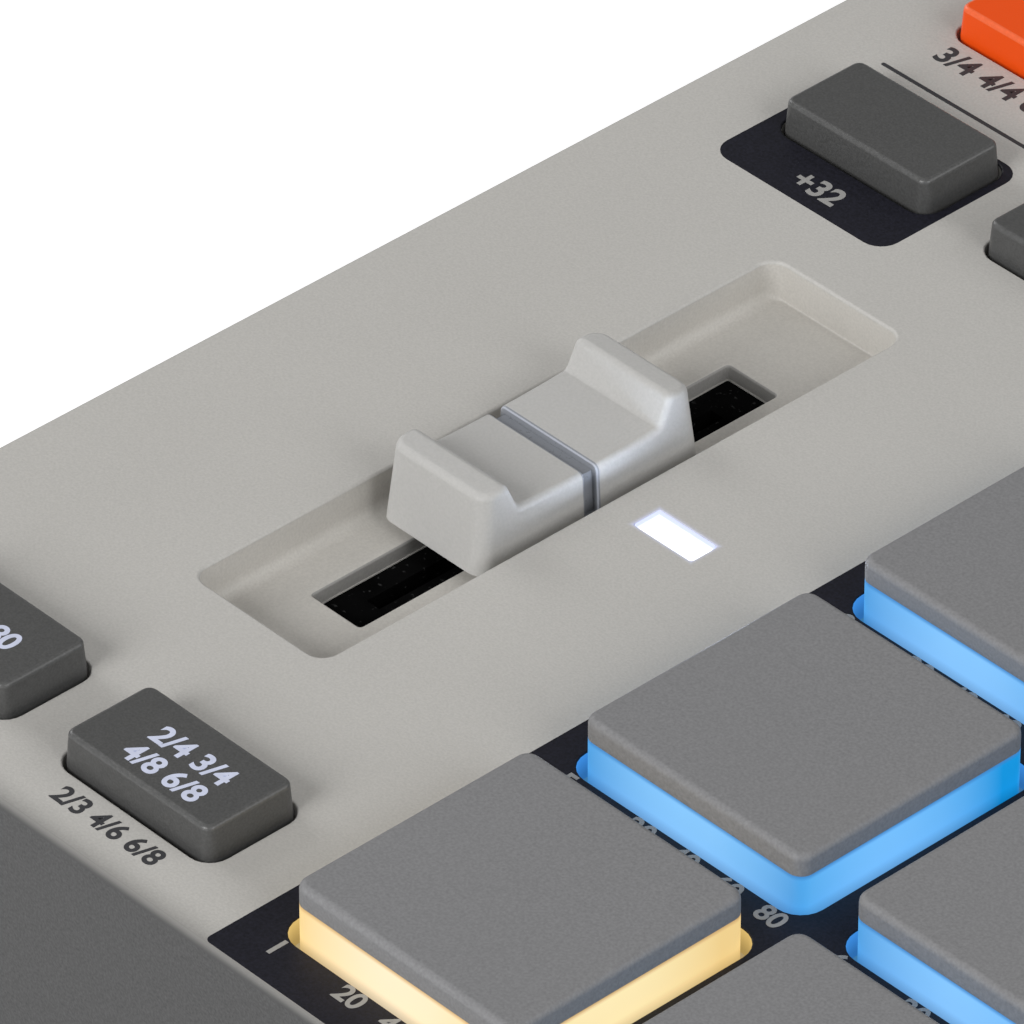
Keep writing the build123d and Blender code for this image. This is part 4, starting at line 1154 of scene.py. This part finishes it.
pale = bmesh.new()
for number, name in enumerate(pads, start=1):
    mid = middle(name).xy
    written(pale, str(number), mid + NUMBER_SHIFT, NUMBER_TALL, PANEL_Z)
    written(pale, "20   40   60   80", mid + SCALE_SHIFT, SCALE_TALL, PANEL_Z, "RIGHT")
mark_rows(pale, "button_middle_left", PALE_ROWS, PANEL_Z)
finished("pale_marks", pale, "case", [pale_print])

dark = bmesh.new()
line_mid, line_size = ((LINE_FROM + LINE_TO) / 2, LINE_Y), (LINE_TO - LINE_FROM, LINE_THICK)
walk(dark, plate(dark, line_mid, line_size, LINE_R, PANEL_Z), [(0.0, INK)])
for name, rows in DARK_ROWS.items():
    mark_rows(dark, name, rows, PANEL_Z)
finished("dark_marks", dark, "case", [dark_print])

for name, rows in LIT_ROWS.items():
    lit = bmesh.new()
    mark_rows(lit, name, rows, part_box(name)[1].z)
    finished(name.replace("button_", "lit_marks_"), lit, name, [lit_print])
print("marks printed by", len(pads), "pads and", len(DARK_ROWS) + 1, "buttons")

# %% [markdown]
# The nodes that keep their own mesh get a finish here. Most of them lie inside and show only through gaps
# and slots, but a lit gap is where a bare colour would look wrong.

# %% Finishes of the kept nodes
kept = {
    case_grey: ["lower_case", "rear_plate"],
    rubber: ["rubber_feet"],
    steel: ["case_screws", "fader_lever", "usb_socket"],
    aluminium: ["dial_shaft"] + [name for name in nodes if name.startswith("knob_shaft")],
    board_green: ["main_board", "control_board"],
    foil: ["battery_pack"],
    dust_film: ["fader_dust_sheet", "fader_body", "pad_sensor_sheet"],
    black_plastic: [
        "button_switches", "pot_bodies", "display_module", "speaker_driver",
        "line_jacks", "mini_jacks", "power_switch_body", "power_slider",
    ],
    screen_glass: ["display_lens"],
}
for finish, names in kept.items():
    for name in names:
        nodes[name].data.materials.clear()
        nodes[name].data.materials.append(finish.material)
print("kept nodes dressed:", sum(len(names) for names in kept.values()))

# %% [markdown]
# The floor is pale and takes the shadow. To the camera, and in gloss, it also glows a little, so that it
# reads as white paper while the light on the object stays at a plain level.

# %% Floor
FLOOR_SIDE, FLOOR_CLOUD = 6.0, 0.2
FLOOR_GREY, FLOOR_GLOW = (0.78, 0.78, 0.78), 0.45

sheet = bmesh.new()
bmesh.ops.create_grid(sheet, x_segments=1, y_segments=1, size=FLOOR_SIDE / 2)
paper = bpy.data.meshes.new("floor")
sheet.to_mesh(paper)
sheet.free()
floor = added("floor", paper)

white = Finish("paper_white")
lens_ray = white.node("ShaderNodeLightPath", out="Is Camera Ray")
gloss_ray = white.node("ShaderNodeLightPath", out="Is Glossy Ray")
paper_tone = white.tone(FLOOR_GREY, 0.99 + 0.02 * white.noise(FLOOR_CLOUD))
white.lit(paper_tone, 0.9, white.tone((1.0, 1.0, 1.0), (lens_ray + gloss_ray) * FLOOR_GLOW))
white.shade({"Specular IOR Level": 0.0})
floor.data.materials.append(white.material)
print("floor", FLOOR_SIDE, "m square")

# %% [markdown]
# The world is an even grey-white sky for soft fill. Four large lamps stand low round the object, the
# strongest in front, so that upright walls are about as bright as the tops and shadows stay faint. Each
# is given by its bearing from the front, its elevation and its power in watts. A fifth, small and cool,
# stands for the light that the window throws on the fader cap.

# %% Sky and lamps
SKY_FILL = 0.26
LAMP_SIDE, LAMP_REACH = 0.9, 1.75
LAMPS = {"front": (0, 28, 26.0), "right": (90, 28, 11.5), "rear": (135, 28, 5.3), "left": (270, 28, 9.0)}
WINDOW_POWER, WINDOW_LIFT, WINDOW_COOL = 0.0042, 0.3 * MM, (0.68, 0.79, 1.0)

world = bpy.data.worlds.new("studio")
bpy.context.scene.world = world
world.use_nodes = True
sky = world.node_tree.nodes["Background"]
sky.inputs["Color"].default_value = (1.0, 1.0, 1.0, 1.0)
sky.inputs["Strength"].default_value = SKY_FILL


def lamp(name, power):
    """An area lamp of this many watts."""
    made = added(name, bpy.data.lights.new(name, "AREA"))
    made.data.energy = power
    return made


for name, (bearing, elevation, power) in LAMPS.items():
    panel_lamp = lamp(f"lamp_{name}", power)
    panel_lamp.data.size = LAMP_SIDE
    stand(panel_lamp, heading(bearing, elevation) * LAMP_REACH)

window_lamp = lamp("lamp_window", WINDOW_POWER)
window_lamp.data.shape = "RECTANGLE"
window_lamp.data.size, window_lamp.data.size_y = WINDOW_SIZE
window_lamp.data.color = WINDOW_COOL
window_lamp.location = (window_mid.x, window_mid.y, PANEL_Z + WINDOW_LIFT)
window_lamp.rotation_euler = (math.pi, 0.0, 0.0)
window_lamp.visible_camera = False
bpy.context.scene.view_settings.view_transform = "Standard"
print("lamps:", len(LAMPS) + 1)
